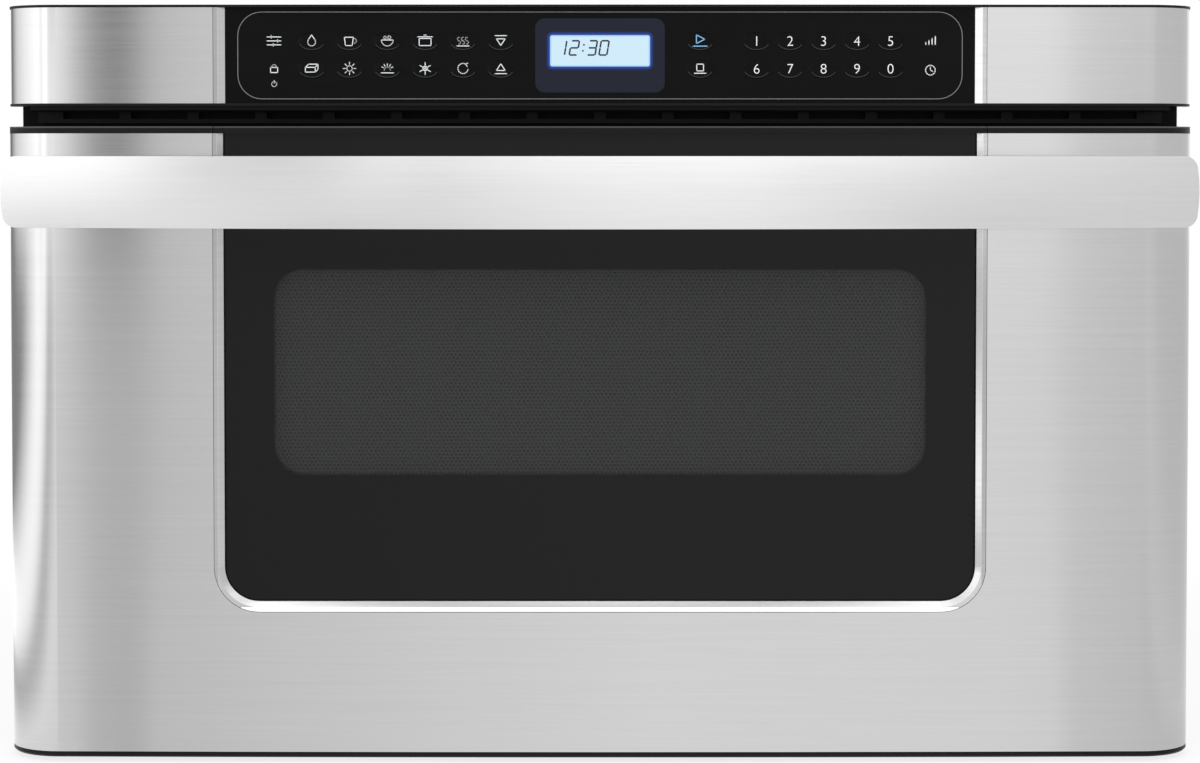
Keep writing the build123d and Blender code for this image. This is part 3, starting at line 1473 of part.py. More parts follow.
# Membrane keypad: one film with embossed oval keys in few faces, cut out round the display window.
with BuildSketch() as key_oval:
    RegularPolygon(key_height / 2, key_sides)
    scale(by=(key_width / key_height, 1, 1))
with BuildPart() as keypad:
    with BuildSketch(facing(fascia_front)):
        with Locations((0, panel_middle)):
            RectangleRounded(glass_width - 2 * keypad_side, keypad_height, keypad_corner)
            RectangleRounded(display_width, display_height, display_corner, mode=Mode.SUBTRACT)
    extrude(amount=keypad_film)
    with BuildSketch(facing(fascia_front - keypad_film)):
        with Locations((0, panel_middle)):
            for block_x, pitch_x, columns in (
                (function_x, key_pitch_x, 6),
                (start_x, key_pitch_x, 1),
                (digit_x, digit_pitch_x, 5),
            ):
                with Locations((block_x, 0)):
                    with GridLocations(pitch_x, key_pitch_z, columns, 2):
                        add(key_oval.sketch)
    extrude(amount=key_rise)
keypad.part.label = "keypad"
export_step(keypad.part, "parts/keypad.step")

# Tinted window over the display, flush in the keypad's cut-out.
with BuildPart() as display_window:
    with BuildSketch(facing(fascia_front)):
        with Locations((0, panel_middle)):
            RectangleRounded(display_width - 2 * fit, display_height - 2 * fit, display_corner - fit)
    extrude(amount=keypad_film + key_rise)
display_window.part.label = "display_window"
export_step(display_window.part, "parts/display_window.step")

# Display module behind the window.
with BuildPart() as lcd_module:
    with BuildSketch(facing(fascia_front)):
        with Locations((0, panel_middle + lcd_above_centre)):
            Rectangle(lcd_width, lcd_height)
    extrude(amount=-(fascia_thickness + moulding + lcd_depth))
lcd_module.part.label = "lcd_module"
export_step(lcd_module.part, "parts/lcd_module.step")

# Control board behind the display, on posts that stand on the housing's front wall.
board_front = fascia_front + fascia_thickness + moulding + lcd_depth
housing_wall = fascia_back + fit + moulding
with BuildPart() as control_board:
    with BuildSketch(facing(board_front + board_thickness)):
        with Locations((0, panel_middle)):
            Rectangle(board_width, board_height)
    extrude(amount=board_thickness)
    with BuildSketch(facing(board_front)):
        with Locations((0, panel_middle)):
            with GridLocations(board_width - 4 * post_radius, board_height - 4 * post_radius, 2, 2):
                Rectangle(2 * post_radius, 2 * post_radius)
    extrude(amount=board_front - housing_wall)
    with Locations((board_width / 4, board_front + board_thickness, panel_middle)):
        with GridLocations(2 * relay_size, 0, 3, 1):
            Box(relay_size, relay_size / 2, relay_size, align=(Align.CENTER, Align.MIN, Align.CENTER))
control_board.part.label = "control_board"
export_step(control_board.part, "parts/control_board.step")

# Thin black edges of the panel: top plate and bottom lip with a round bead under it.
bead_width = face_width - 2 * bead_end_inset
with BuildPart() as panel_edges:
    for edge_z, edge_thickness in ((panel_bottom, edge_bottom), (panel_high, edge_top)):
        with BuildSketch(Plane.XY.offset(edge_z)):
            add(face_plan(panel_front, frame_front, -edge_proud))
        extrude(amount=edge_thickness)
    with BuildSketch(Plane.YZ.offset(-bead_width / 2)):
        with Locations((panel_front + bead_inset, panel_bottom)):
            SlotOverall(4 * bead_radius, 2 * bead_radius, rotation=90)
            Rectangle(4 * bead_radius, 4 * bead_radius, align=(Align.CENTER, Align.MIN), mode=Mode.SUBTRACT)
    extrude(amount=bead_width)
panel_edges.part.label = "panel_edges"
export_step(panel_edges.part, "parts/panel_edges.step")

# Exhaust louvre in the slot between panel and drawer, with clips that reach forward under the panel.
louvre_low = cap_top + louvre_lift
with BuildPart() as air_louvre:
    with BuildSketch(facing(frame_front)):
        with Locations((0, louvre_low)):
            Rectangle(bead_width, panel_bottom - louvre_low, align=(Align.CENTER, Align.MIN))
        with Locations((0, (louvre_low + panel_bottom) / 2)):
            with GridLocations(louvre_pitch, 0, louvre_slots, 1):
                Rectangle(louvre_slot_length, louvre_slot_width, mode=Mode.SUBTRACT)
    extrude(amount=louvre_depth)
    with BuildSketch(Plane.XY.offset(panel_bottom)):
        with Locations((0, frame_front - louvre_depth)):
            Rectangle(clip_width_middle, clip_depth, align=(Align.CENTER, Align.MAX))
            for clip_pitch in (2 * clip_inner_x, 2 * clip_outer_x):
                with GridLocations(clip_pitch, 0, 2, 1):
                    Rectangle(clip_width, clip_depth, align=(Align.CENTER, Align.MAX))
    extrude(amount=-edge_bottom)
air_louvre.part.label = "air_louvre"
export_step(air_louvre.part, "parts/air_louvre.step")
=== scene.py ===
import bpy
import bmesh
import math
from mathutils import Euler, Matrix, Vector


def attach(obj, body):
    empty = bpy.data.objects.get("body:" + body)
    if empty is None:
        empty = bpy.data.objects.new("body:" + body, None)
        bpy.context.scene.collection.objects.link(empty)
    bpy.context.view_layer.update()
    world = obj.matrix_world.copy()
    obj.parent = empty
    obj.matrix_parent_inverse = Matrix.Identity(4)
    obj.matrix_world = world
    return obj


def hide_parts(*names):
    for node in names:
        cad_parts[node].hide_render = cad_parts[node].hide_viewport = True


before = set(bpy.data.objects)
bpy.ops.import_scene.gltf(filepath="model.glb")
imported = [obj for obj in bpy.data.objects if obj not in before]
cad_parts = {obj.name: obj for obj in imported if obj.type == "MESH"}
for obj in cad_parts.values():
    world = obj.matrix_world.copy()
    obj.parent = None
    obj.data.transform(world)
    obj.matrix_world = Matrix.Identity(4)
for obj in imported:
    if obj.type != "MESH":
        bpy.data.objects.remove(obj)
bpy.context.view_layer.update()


# ---- Folded sheet of the chassis ----
# Base pan, wrap-around case and back plate are folded from zinc-coated steel, about 1 mm thick, as are the
# waveguide duct, the tub's choke plate and the slide brackets. The front flange has a black powder coat.
class Finish:
    """One socket of a material's nodes, with arithmetic on it."""

    def __init__(self, tree, socket=None):
        self.tree = tree
        self.socket = socket

    def node(self, kind, inputs, output=0, stops=(), **settings):
        made = self.tree.nodes.new(kind)
        for name, value in settings.items():
            setattr(made, name, value)
        if stops:
            ramp = made.color_ramp.elements
            for position, _ in stops[1:-1]:
                ramp.new(position)
            for stop, (position, colour) in zip(ramp, stops):
                stop.position = position
                stop.color = (*colour, 1.0)
        for name, value in inputs.items():
            socket = made.inputs[name]
            if isinstance(value, Finish):
                self.tree.links.new(value.socket, socket)
            elif socket.type == "RGBA":
                socket.default_value = (*value, 1.0)
            else:
                socket.default_value = value
        return Finish(self.tree, made.outputs[output] if made.outputs else None)

    def maths(self, operation, *values):
        return self.node("ShaderNodeMath", dict(enumerate(values)), operation=operation)

    def __add__(self, other):
        return self.maths("ADD", self, other)

    __radd__ = __add__

    def __sub__(self, other):
        return self.maths("SUBTRACT", self, other)

    def __rsub__(self, other):
        return self.maths("SUBTRACT", other, self)

    def __mul__(self, other):
        return self.maths("MULTIPLY", self, other)

    __rmul__ = __mul__

    def __truediv__(self, other):
        return self.maths("DIVIDE", self, other)

    def __rtruediv__(self, other):
        return self.maths("DIVIDE", other, self)

    def __lt__(self, other):
        return self.maths("LESS_THAN", self, other)

    def __gt__(self, other):
        return self.maths("GREATER_THAN", self, other)

    def __abs__(self):
        return self.maths("ABSOLUTE", self)

    def root(self):
        return self.maths("SQRT", self)

    def fraction(self):
        return self.maths("FRACT", self)

    def at_least(self, other):
        return self.maths("MAXIMUM", self, other)

    def stretched(self, x, y, z):
        return self.node("ShaderNodeVectorMath", {0: self, 1: (x, y, z)}, operation="MULTIPLY")

    def part(self, axis):
        return self.node("ShaderNodeSeparateXYZ", {0: self}, output=axis)

    def noise(self, scale, detail):
        return self.node("ShaderNodeTexNoise", {"Vector": self, "Scale": scale, "Detail": detail})

    def step(self, low, high):
        return self.node("ShaderNodeMapRange", {0: self, 1: low, 2: high}, interpolation_type="SMOOTHSTEP")

    def mix(self, low, high):
        return self.node("ShaderNodeMix", {0: self, 6: low, 7: high}, output=2, data_type="RGBA")

    def bump(self, strength, height):
        return self.node("ShaderNodeBump", {"Height": self, "Strength": strength, "Distance": height})


def new_finish(name):
    """An empty material and its Object coordinates."""
    material = bpy.data.materials.new(name)
    material.use_nodes = True
    material.node_tree.nodes.clear()
    return material, Finish(material.node_tree).node("ShaderNodeTexCoord", {}, output="Object")


def complete(place, inputs):
    """Closes a material with one Principled shader."""
    shader = place.node("ShaderNodeBsdfPrincipled", inputs)
    place.node("ShaderNodeOutputMaterial", {"Surface": shader})


def dress(material, *names):
    """Gives CAD nodes their finish."""
    for name in names:
        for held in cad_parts[name].material_slots:
            held.material = material


zinc, place = new_finish("galvanised_sheet")
spangle = place.node("ShaderNodeTexVoronoi", {"Vector": place, "Scale": 95.0}, output="Color").part(0)
rolled = place.stretched(1, 6, 6).noise(60.0, 3.0)
dust = place.noise(7.0, 4.0)
complete(
    place,
    {
        "Base Color": (spangle * 0.5 + rolled * 0.3 + dust * 0.2).mix((0.42, 0.43, 0.44), (0.66, 0.67, 0.68)),
        "Metallic": 0.9,
        "Roughness": spangle * 0.16 + dust * 0.12 + 0.3,
        "Normal": rolled.bump(0.25, 0.0002),
    },
)
dress(zinc, "base_pan", "outer_case", "back_plate", "waveguide", "choke_plate", "slide_arms")

powder, place = new_finish("flange_paint")
orange_peel = place.noise(700.0, 2.0)
sheen = place.noise(12.0, 3.0)
complete(
    place,
    {
        "Base Color": sheen.mix((0.0030, 0.0030, 0.0030), (0.0060, 0.0060, 0.0060)),
        "Roughness": sheen * 0.14 + 0.42,
        "Specular IOR Level": 0.1,
        "Normal": orange_peel.bump(0.12, 0.0002),
    },
)
dress(powder, "front_frame")


# ---- Oven cavity and drawer tub ----
# Both are steel boxes coated with a pale grey fired enamel that shows fine darker specks. The tub's floor is
# a loose plate of near-white glass ceramic that lies on the tub's bottom.
enamel, place = new_finish("speckled_enamel")
specks = place.node("ShaderNodeTexVoronoi", {"Vector": place, "Scale": 520.0}).step(0.16, 0.30)
cloud = place.noise(14.0, 3.0)
complete(
    place,
    {
        "Base Color": specks.mix((0.30, 0.31, 0.32), (0.60, 0.61, 0.62)),
        "Roughness": cloud * 0.14 + 0.26,
        "Coat Weight": 0.35,
        "Coat Roughness": 0.12,
        "Normal": place.noise(240.0, 2.0).bump(0.1, 0.0002),
    },
)
dress(enamel, "oven_cavity", "drawer_tub")

ceramic, place = new_finish("glass_ceramic")
grain = place.noise(420.0, 3.0)
wiped = place.stretched(3, 1, 1).noise(9.0, 3.0)
complete(
    place,
    {
        "Base Color": (grain * 0.4 + wiped * 0.6).mix((0.66, 0.67, 0.66), (0.80, 0.80, 0.78)),
        "Roughness": wiped * 0.18 + 0.12,
        "Coat Weight": 0.5,
        "Coat Roughness": 0.05,
    },
)
dress(ceramic, "ceramic_floor")


# ---- Stirrer cover and oven lamp ----
# The cover over the mode stirrer is a thin translucent plastic disc. The lamp sits above small holes in the
# cavity's roof, in a holder of bent sheet.
cover, place = new_finish("milky_plastic")
haze = place.noise(30.0, 3.0)
complete(
    place,
    {
        "Base Color": haze.mix((0.62, 0.60, 0.54), (0.74, 0.72, 0.66)),
        "Roughness": haze * 0.2 + 0.3,
        "Alpha": haze * 0.1 + 0.78,
    },
)
dress(cover, "stirrer_cover")

lamp, place = new_finish("lamp_glass")
frosting = place.noise(300.0, 2.0)
complete(
    place,
    {
        "Base Color": frosting.mix((0.74, 0.72, 0.66), (0.88, 0.86, 0.80)),
        "Roughness": frosting * 0.2 + 0.15,
        "Coat Weight": 0.6,
        "Normal": frosting.bump(0.08, 0.0002),
    },
)
dress(lamp, "oven_lamp")


# ---- Microwave generator ----
# The magnetron is a stack of aluminium fins in a zinc yoke. Its transformer has a core of thin steel
# laminations and two enamelled copper windings, and the capacitor is a plain drawn aluminium can. The stirrer
# is cut from aluminium sheet, and the two small motors have plated steel cases.
tube, place = new_finish("magnetron_metal")
cast = place.noise(130.0, 3.0)
stain = place.noise(18.0, 3.0)
complete(
    place,
    {
        "Base Color": (cast * 0.4 + stain * 0.6).mix((0.44, 0.42, 0.40), (0.70, 0.69, 0.67)),
        "Metallic": 0.85,
        "Roughness": cast * 0.2 + 0.3,
        "Normal": cast.bump(0.2, 0.0002),
    },
)
dress(tube, "magnetron")

core, place = new_finish("laminated_steel")
plates = place.stretched(0, 1400, 0).noise(1.0, 1.0)
rust = place.noise(22.0, 4.0).step(0.52, 0.72)
complete(
    place,
    {
        "Base Color": rust.mix((0.16, 0.16, 0.17), (0.24, 0.17, 0.12)),
        "Metallic": 0.55 - rust * 0.4,
        "Roughness": plates * 0.2 + 0.42,
        "Normal": plates.bump(0.5, 0.0003),
    },
)
dress(core, "transformer_core")

copper, place = new_finish("enamelled_copper")
turns = place.node("ShaderNodeTexWave", {"Vector": place, "Scale": 190.0, "Distortion": 0.4}, bands_direction="Z")
turn = turns.part(0)
complete(
    place,
    {
        "Base Color": turn.mix((0.16, 0.045, 0.02), (0.52, 0.18, 0.07)),
        "Metallic": turn * 0.4 + 0.3,
        "Roughness": 0.36 - turn * 0.1,
        "Coat Weight": 0.4,
        "Normal": turn.bump(0.7, 0.0006),
    },
)
dress(copper, "transformer_coils")

can, place = new_finish("drawn_aluminium_can")
drawn = place.stretched(200, 200, 4).noise(4.0, 3.0)
complete(
    place,
    {
        "Base Color": drawn.mix((0.50, 0.51, 0.52), (0.68, 0.69, 0.70)),
        "Metallic": 0.95,
        "Roughness": drawn * 0.16 + 0.26,
        "Normal": drawn.bump(0.12, 0.0002),
    },
)
dress(can, "hv_capacitor")

stirring, place = new_finish("stirrer_aluminium")
mill = place.stretched(40, 300, 300).noise(2.0, 3.0)
complete(
    place,
    {
        "Base Color": mill.mix((0.60, 0.61, 0.62), (0.76, 0.77, 0.78)),
        "Metallic": 1.0,
        "Roughness": mill * 0.18 + 0.24,
        "Normal": mill.bump(0.1, 0.0002),
    },
)
dress(stirring, "stirrer_fan")

motor, place = new_finish("plated_motor_case")
plating = place.noise(90.0, 3.0)
complete(
    place,
    {
        "Base Color": plating.mix((0.34, 0.33, 0.30), (0.50, 0.48, 0.43)),
        "Metallic": 0.8,
        "Roughness": plating * 0.22 + 0.3,
        "Normal": plating.bump(0.1, 0.0002),
    },
)
dress(motor, "stirrer_motor", "fan_motor")


# ---- Moulded inner parts, boards and bushing ----
# Fan duct, gearbox and switches are grey glass-filled nylon, and wheel, pinion, rack and latches white acetal.
# The boards are green laminate with a solder mask, and the cord's bushing is black rubber, with no cord in it.
grey, place = new_finish("grey_nylon")
flow = place.noise(55.0, 4.0)
fibre = place.noise(900.0, 2.0)
complete(
    place,
    {
        "Base Color": flow.mix((0.20, 0.21, 0.22), (0.29, 0.30, 0.31)),
        "Roughness": fibre * 0.22 + 0.38,
        "Normal": fibre.bump(0.15, 0.0002),
    },
)
dress(grey, "fan_shroud", "drive_motor", "door_switches")

acetal, place = new_finish("white_acetal")
tint = place.noise(30.0, 3.0)
rubbed = place.noise(700.0, 2.0)
complete(
    place,
    {
        "Base Color": tint.mix((0.72, 0.71, 0.67), (0.82, 0.81, 0.78)),
        "Roughness": rubbed * 0.2 + 0.28,
        "Subsurface Weight": 0.08,
        "Subsurface Scale": 0.002,
        "Normal": rubbed.bump(0.08, 0.0002),
    },
)
dress(acetal, "latch_hooks", "drive_rack", "drive_pinion", "fan_wheel")

board, place = new_finish("circuit_board")
tracks = place.node(
    "ShaderNodeTexBrick",
    {
        "Vector": place,
        "Scale": 90.0,
        "Mortar Size": 0.07,
        "Color1": (0.02, 0.16, 0.07),
        "Color2": (0.025, 0.19, 0.085),
    },
)
weave = place.noise(800.0, 2.0)
complete(
    place,
    {
        "Base Color": weave.mix((0.015, 0.12, 0.05), (0.035, 0.21, 0.10)),
        "Roughness": weave * 0.15 + 0.3,
        "Coat Weight": 0.3,
        "Normal": tracks.part(1).bump(0.2, 0.0002),
    },
)
dress(board, "filter_board", "control_board")

rubber, place = new_finish("bushing_rubber")
bloom = place.noise(160.0, 4.0)
complete(
    place,
    {
        "Base Color": bloom.mix((0.018, 0.018, 0.018), (0.040, 0.040, 0.042)),
        "Roughness": bloom * 0.2 + 0.55,
        "Normal": bloom.bump(0.2, 0.0003),
    },
)
dress(rubber, "cord_bushing")


# ---- Slides ----
# Rails and ball cages are cold-rolled steel with bright zinc plating, drawn lengthwise, with a thin film of
# grease where the balls run.
slide_steel, place = new_finish("slide_steel")
rolled = place.stretched(300, 4, 300).noise(2.0, 3.0)
grease = place.stretched(1, 0.3, 1).noise(40.0, 3.0).step(0.55, 0.7)
complete(
    place,
    {
        "Base Color": (rolled * 0.7 + grease * 0.2).mix((0.50, 0.51, 0.53), (0.74, 0.75, 0.77)),
        "Metallic": 0.95,
        "Roughness": rolled * 0.14 + 0.34 - grease * 0.16,
        "Normal": rolled.bump(0.15, 0.0002),
    },
)
dress(slide_steel, "slide_fixed_left", "slide_fixed_right", "slide_middle_left", "slide_middle_right")
dress(slide_steel, "slide_inner_left", "slide_inner_right")
dress(slide_steel, "cage_outer_left", "cage_outer_right", "cage_inner_left", "cage_inner_right")


# ---- Black mouldings of drawer and panel ----
# The door's frame, top cap and bottom trim, the panel's housing and edges, the choke's cover and the exhaust
# louvre are injection-moulded in black with a fine matt grain. A thin painted highlight runs along the cap's front
# edge.
cap_edge_low = 0.3218
cap_edge_high = 0.3228

black, place = new_finish("black_moulding")
height = place.part(2)
facing_front = 0.0 - place.node("ShaderNodeNewGeometry", {}, output="True Normal").part(1)
over_edge = height.step(cap_edge_high - 0.0002, cap_edge_high + 0.0002)
# lighter base colour along the cap's top front edge: a painted highlight
painted_cap_highlight = height.step(cap_edge_low - 0.0003, cap_edge_low + 0.0003) * (1.0 - over_edge) * facing_front.step(0.3, 0.6)
leather = place.node("ShaderNodeTexVoronoi", {"Vector": place, "Scale": 1300.0})
sheen = place.stretched(1, 3, 3).noise(26.0, 3.0)
complete(
    place,
    {
        "Base Color": (sheen * 0.05 + painted_cap_highlight * 0.9).mix((0.0050, 0.0050, 0.0050), (0.085, 0.085, 0.085)),
        "Roughness": sheen * 0.16 + 0.28,
        "Specular IOR Level": 0.13,
        "Normal": leather.bump(0.12, 0.0001),
    },
)
dress(black, "door_frame", "door_top_cap", "door_bottom_trim", "control_housing", "panel_edges")
dress(black, "air_louvre", "choke_cover")


# ---- Door glass, screen and inner window ----
# The black glass is printed on its back except for a grey-tinted window. Behind it lie a perforated steel
# screen that keeps the microwaves in and a plain inner pane.
window_half_width = 0.165
window_low = 0.146
window_high = 0.250
window_corner = 0.015


def beyond(place, half_width, low, high, corner):
    """Distance outside a rounded rectangle of the front, for places near its rim."""
    reach = (abs(place.part(0)) - (half_width - corner)).at_least(0.0)
    rise = (abs(place.part(2) - (low + high) / 2) - ((high - low) / 2 - corner)).at_least(0.0)
    return (reach * reach + rise * rise).root() - corner


glass, place = new_finish("black_door_glass")
printed = beyond(place, window_half_width, window_low, window_high, window_corner).step(-0.0006, 0.0006)
complete(
    place,
    {
        "Base Color": printed.mix((0.030, 0.031, 0.031), (0.006, 0.006, 0.006)),
        "Roughness": place.noise(5.0, 2.0) * 0.03 + 0.03,
        "Specular IOR Level": 0.165,
        "Alpha": printed * 0.5 + 0.5,
    },
)
dress(glass, "door_glass")

hole_pitch = 0.0021
row_pitch = hole_pitch * 0.866
# The holes are not cut: base colour is darker in them, painted shade of the dark space behind the screen.
screen, place = new_finish("perforated_screen")
column = place.part(0) / hole_pitch
row = place.part(2) / row_pitch
parity = row.maths("FLOORED_MODULO", row.maths("FLOOR", row), 2.0)
shifted = (column + parity * 0.5).fraction() - 0.5
along = row.fraction() - 0.5
web = (shifted * shifted + along * along * 0.75).root().step(0.26, 0.36)
complete(
    place,
    {
        "Base Color": web.mix((0.095, 0.097, 0.095), (0.275, 0.280, 0.274)),
        "Metallic": 0.2,
        "Roughness": 0.62 - web * 0.1,
        "Normal": web.bump(0.1, 0.0002),
    },
)
dress(screen, "window_screen")

pane, place = new_finish("inner_pane")
smear = place.noise(12.0, 3.0)
complete(
    place,
    {
        "Base Color": smear.mix((0.55, 0.58, 0.58), (0.66, 0.69, 0.69)),
        "Roughness": smear * 0.06 + 0.03,
        "Alpha": smear * 0.06 + 0.22,
    },
)
dress(pane, "inner_window")


# ---- Steel skin, handle and panel caps ----
# The drawer's front, the bowed handle and the panel's two end caps are stainless steel, brushed from side to
# side, so that reflections stay crisp sideways and smear upwards. The narrow trims are bright rolled strips, their
# side strips painted darker as painted shade.
steel, place = new_finish("brushed_steel")
hairline = place.stretched(22, 22, 2300).noise(1.0, 4.0)
pass_mark = place.stretched(5, 5, 420).noise(1.0, 3.0)
tone = place.stretched(1.5, 1.5, 3).noise(2.0, 2.0)
brushing = hairline * 0.6 + pass_mark * 0.4
complete(
    place,
    {
        "Base Color": (brushing * 0.8 + tone * 0.2).mix((0.565, 0.565, 0.564), (0.665, 0.665, 0.665)),
        "Metallic": 1.0,
        "Roughness": brushing * 0.04 + 0.08,
        "Anisotropic": 0.97,
        "Anisotropic Rotation": 0.25,
        "Normal": brushing.bump(0.04, 0.0001),
    },
)
dress(steel, "door_skin", "panel_end_caps")

handle_middle = 0.2905
polished, place = new_finish("brushed_steel_handle")
hairline = place.stretched(22, 22, 2300).noise(1.0, 4.0)
pass_mark = place.stretched(4, 4, 300).noise(1.0, 3.0)
brushing = hairline * 0.6 + pass_mark * 0.4
above_middle = place.part(2) - handle_middle
crowned = brushing * 0.000004 - above_middle * above_middle * 3.0
complete(
    place,
    {
        "Base Color": brushing.mix((0.68, 0.68, 0.682), (0.80, 0.80, 0.80)),
        "Metallic": 1.0,
        "Roughness": brushing * 0.10 + 0.24,
        "Anisotropic": 0.9,
        "Anisotropic Rotation": 0.25,
        "Normal": crowned.bump(1.0, 1.0),
    },
)
dress(polished, "handle")

trim_half_width = 0.1934
trim_low = 0.0786
bright, place = new_finish("bright_trim")
drawn = place.stretched(3, 3, 900).noise(1.0, 3.0)
# The side strips get a darker base colour than the bottom strip: painted shade beside the glass.
side_strip = (abs(place.part(0)) - trim_half_width).at_least(0.0)
low_strip = (trim_low - place.part(2)).at_least(0.0)
rolled_edge = side_strip * 0.2 + low_strip * 0.36 + drawn * 0.000004
complete(
    place,
    {
        "Base Color": (drawn * 0.3 + (side_strip > 0.0002) * 0.7).mix((0.68, 0.68, 0.68), (0.42, 0.42, 0.425)),
        "Metallic": 1.0,
        "Roughness": drawn * 0.06 + 0.11,
        "Normal": rolled_edge.bump(1.0, 1.0),
    },
)
dress(bright, "glass_trim", "panel_trims")


# ---- Fascia and keypad ----
# A glossy black fascia carries a membrane film with embossed oval keys. A thin silver line round the film is a painted
# highlight of its raised edge, light strokes on the keys' lower arcs are painted highlights of their embossed rims,
# and the keys carry plain numbers and simple signs in place of words.
fascia_front = -0.2920
film_front = -0.2925
film_half_width = 0.184
film_low = 0.3359
film_high = 0.3810
film_corner = 0.0127
key_rows = (0.36545, 0.35145)
function_columns = [-0.0981 + (place_in_row - 2.5) * 0.01915 for place_in_row in range(6)]
digit_columns = [0.1132 + (place_in_row - 2) * 0.01695 for place_in_row in range(5)]
start_column = 0.0507
left_column = -0.1650
right_column = 0.1673
key_width = 0.0145
key_height = 0.0095
key_thickness = 0.00028
key_middle_y = film_front - 0.00012
border_inset = 0.0004
border_width = 0.0004
display_low = (-0.0328, 0.3397)
display_high = (0.0328, 0.3772)

film_finish, place = new_finish("keypad_film")
grain = place.noise(1500.0, 2.0)
wipes = place.stretched(1, 1, 4).noise(22.0, 3.0)
complete(
    place,
    {
        "Base Color": wipes.mix((0.0030, 0.0030, 0.0032), (0.0050, 0.0050, 0.0053)),
        "Roughness": wipes * 0.10 + 0.20,
        "Specular IOR Level": 0.06,
        "Normal": grain.bump(0.05, 0.0001),
    },
)

gloss, place = new_finish("black_fascia")
polish = place.noise(9.0, 3.0)
complete(
    place,
    {
        "Base Color": polish.mix((0.0025, 0.0025, 0.0025), (0.0045, 0.0045, 0.0045)),
        "Roughness": polish * 0.06 + 0.08,
        "Specular IOR Level": 0.06,
    },
)
dress(gloss, "fascia")


upright = Matrix.Rotation(math.pi / 2, 4, "X")  # turns a flat shape to face the front


def rounded_loop(mesh, low, high, radius, y, segments=8):
    """A rounded rectangle of edges that faces the front."""
    width = high[0] - low[0]
    height = high[1] - low[1]
    middle = Matrix.Translation(((low[0] + high[0]) / 2, y, (low[1] + high[1]) / 2))
    scaled = middle @ upright @ Matrix.Diagonal((width, height, 1, 1))
    made = bmesh.ops.create_grid(mesh, x_segments=1, y_segments=1, size=0.5, matrix=scaled)
    rim = list({edge for vertex in made["verts"] for edge in vertex.link_edges})
    bmesh.ops.delete(mesh, geom=list({face for edge in rim for face in edge.link_faces}), context="FACES_ONLY")
    before = set(mesh.edges) - set(rim)
    bmesh.ops.bevel(
        mesh, geom=made["verts"], offset=radius, segments=segments, profile=0.5, affect="VERTICES", material=-1
    )
    return [edge for edge in mesh.edges if edge not in before]


def thicken(mesh, faces, depth):
    """Extrudes flat faces towards the front."""
    raised = bmesh.ops.extrude_face_region(mesh, geom=faces)["geom"]
    bmesh.ops.translate(
        mesh, verts=[item for item in raised if isinstance(item, bmesh.types.BMVert)], vec=(0, -depth, 0)
    )


def rounded_band(mesh, outer, inner, y, depth):
    """A flat ring between two rounded rectangles (low, high, radius), extruded towards the front."""
    rims = rounded_loop(mesh, *outer, y) + rounded_loop(mesh, *inner, y)
    thicken(mesh, bmesh.ops.bridge_loops(mesh, edges=list(set(rims)))["faces"], depth)


def piece(mesh, name, body, finish, smooth=True):
    """Turns a bmesh into a named piece that rides on a body."""
    bmesh.ops.remove_doubles(mesh, verts=mesh.verts, dist=1e-7)
    bmesh.ops.recalc_face_normals(mesh, faces=mesh.faces)
    data = bpy.data.meshes.new(name)
    mesh.to_mesh(data)
    mesh.free()
    made = bpy.data.objects.new(name, data)
    bpy.context.scene.collection.objects.link(made)
    data.materials.append(finish)
    if smooth:
        for face in data.polygons:
            face.use_smooth = True
        data.set_sharp_from_angle(angle=math.radians(35))
    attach(made, body)
    return made


def film_outline(inset):
    """The film's rounded outline, drawn in by an inset."""
    low = (-film_half_width + inset, film_low + inset)
    return low, (film_half_width - inset, film_high - inset), film_corner - inset


cut_out_corner = 0.005
mesh = bmesh.new()
rounded_band(
    mesh, film_outline(0.0), (display_low, display_high, cut_out_corner), fascia_front, fascia_front - film_front
)
for column, row in [(column, row) for column in function_columns + digit_columns + [start_column] for row in key_rows]:
    oval = Matrix.Translation((column, key_middle_y, row)) @ upright
    bmesh.ops.create_cone(
        mesh,
        cap_ends=True,
        segments=32,
        radius1=0.5,
        radius2=0.47,
        depth=1.0,
        matrix=oval @ Matrix.Diagonal((key_width, key_height, key_thickness, 1)),
    )
keypad = piece(mesh, "keypad_film", "chassis", film_finish)
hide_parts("keypad")

# A thin silver ring just inside the film's edge: a painted highlight of the film's raised edge.
edge_highlight_finish, place = new_finish("painted_edge_highlight")
print_and_highlight_grain = place.noise(900.0, 2.0)
complete(
    place,
    {
        "Base Color": print_and_highlight_grain.mix((0.14, 0.145, 0.15), (0.20, 0.205, 0.21)),
        "Metallic": 0.3,
        "Roughness": print_and_highlight_grain * 0.1 + 0.4,
    },
)
mesh = bmesh.new()
rounded_band(mesh, film_outline(border_inset), film_outline(border_inset + border_width), film_front, 0.00003)
piece(mesh, "keypad_edge_highlight", "chassis", edge_highlight_finish, smooth=False)

legend_finish, place = new_finish("legend_white")
print_and_highlight_grain = place.noise(1200.0, 2.0)
complete(
    place,
    {
        "Base Color": print_and_highlight_grain.mix((0.74, 0.76, 0.78), (0.86, 0.88, 0.90)),
        "Roughness": print_and_highlight_grain * 0.1 + 0.45,
    },
)
start_finish, place = new_finish("legend_blue")
print_and_highlight_grain = place.noise(1200.0, 2.0)
complete(
    place,
    {
        "Base Color": print_and_highlight_grain.mix((0.16, 0.42, 0.70), (0.24, 0.52, 0.80)),
        "Roughness": print_and_highlight_grain * 0.1 + 0.45,
    },
)


def arc(x, z, radius, start, end, steps=12):
    """Points along an arc, angles in degrees."""
    angles = [math.radians(start + (end - start) * step / steps) for step in range(steps + 1)]
    return [(x + radius * math.cos(angle), z + radius * math.sin(angle)) for angle in angles]


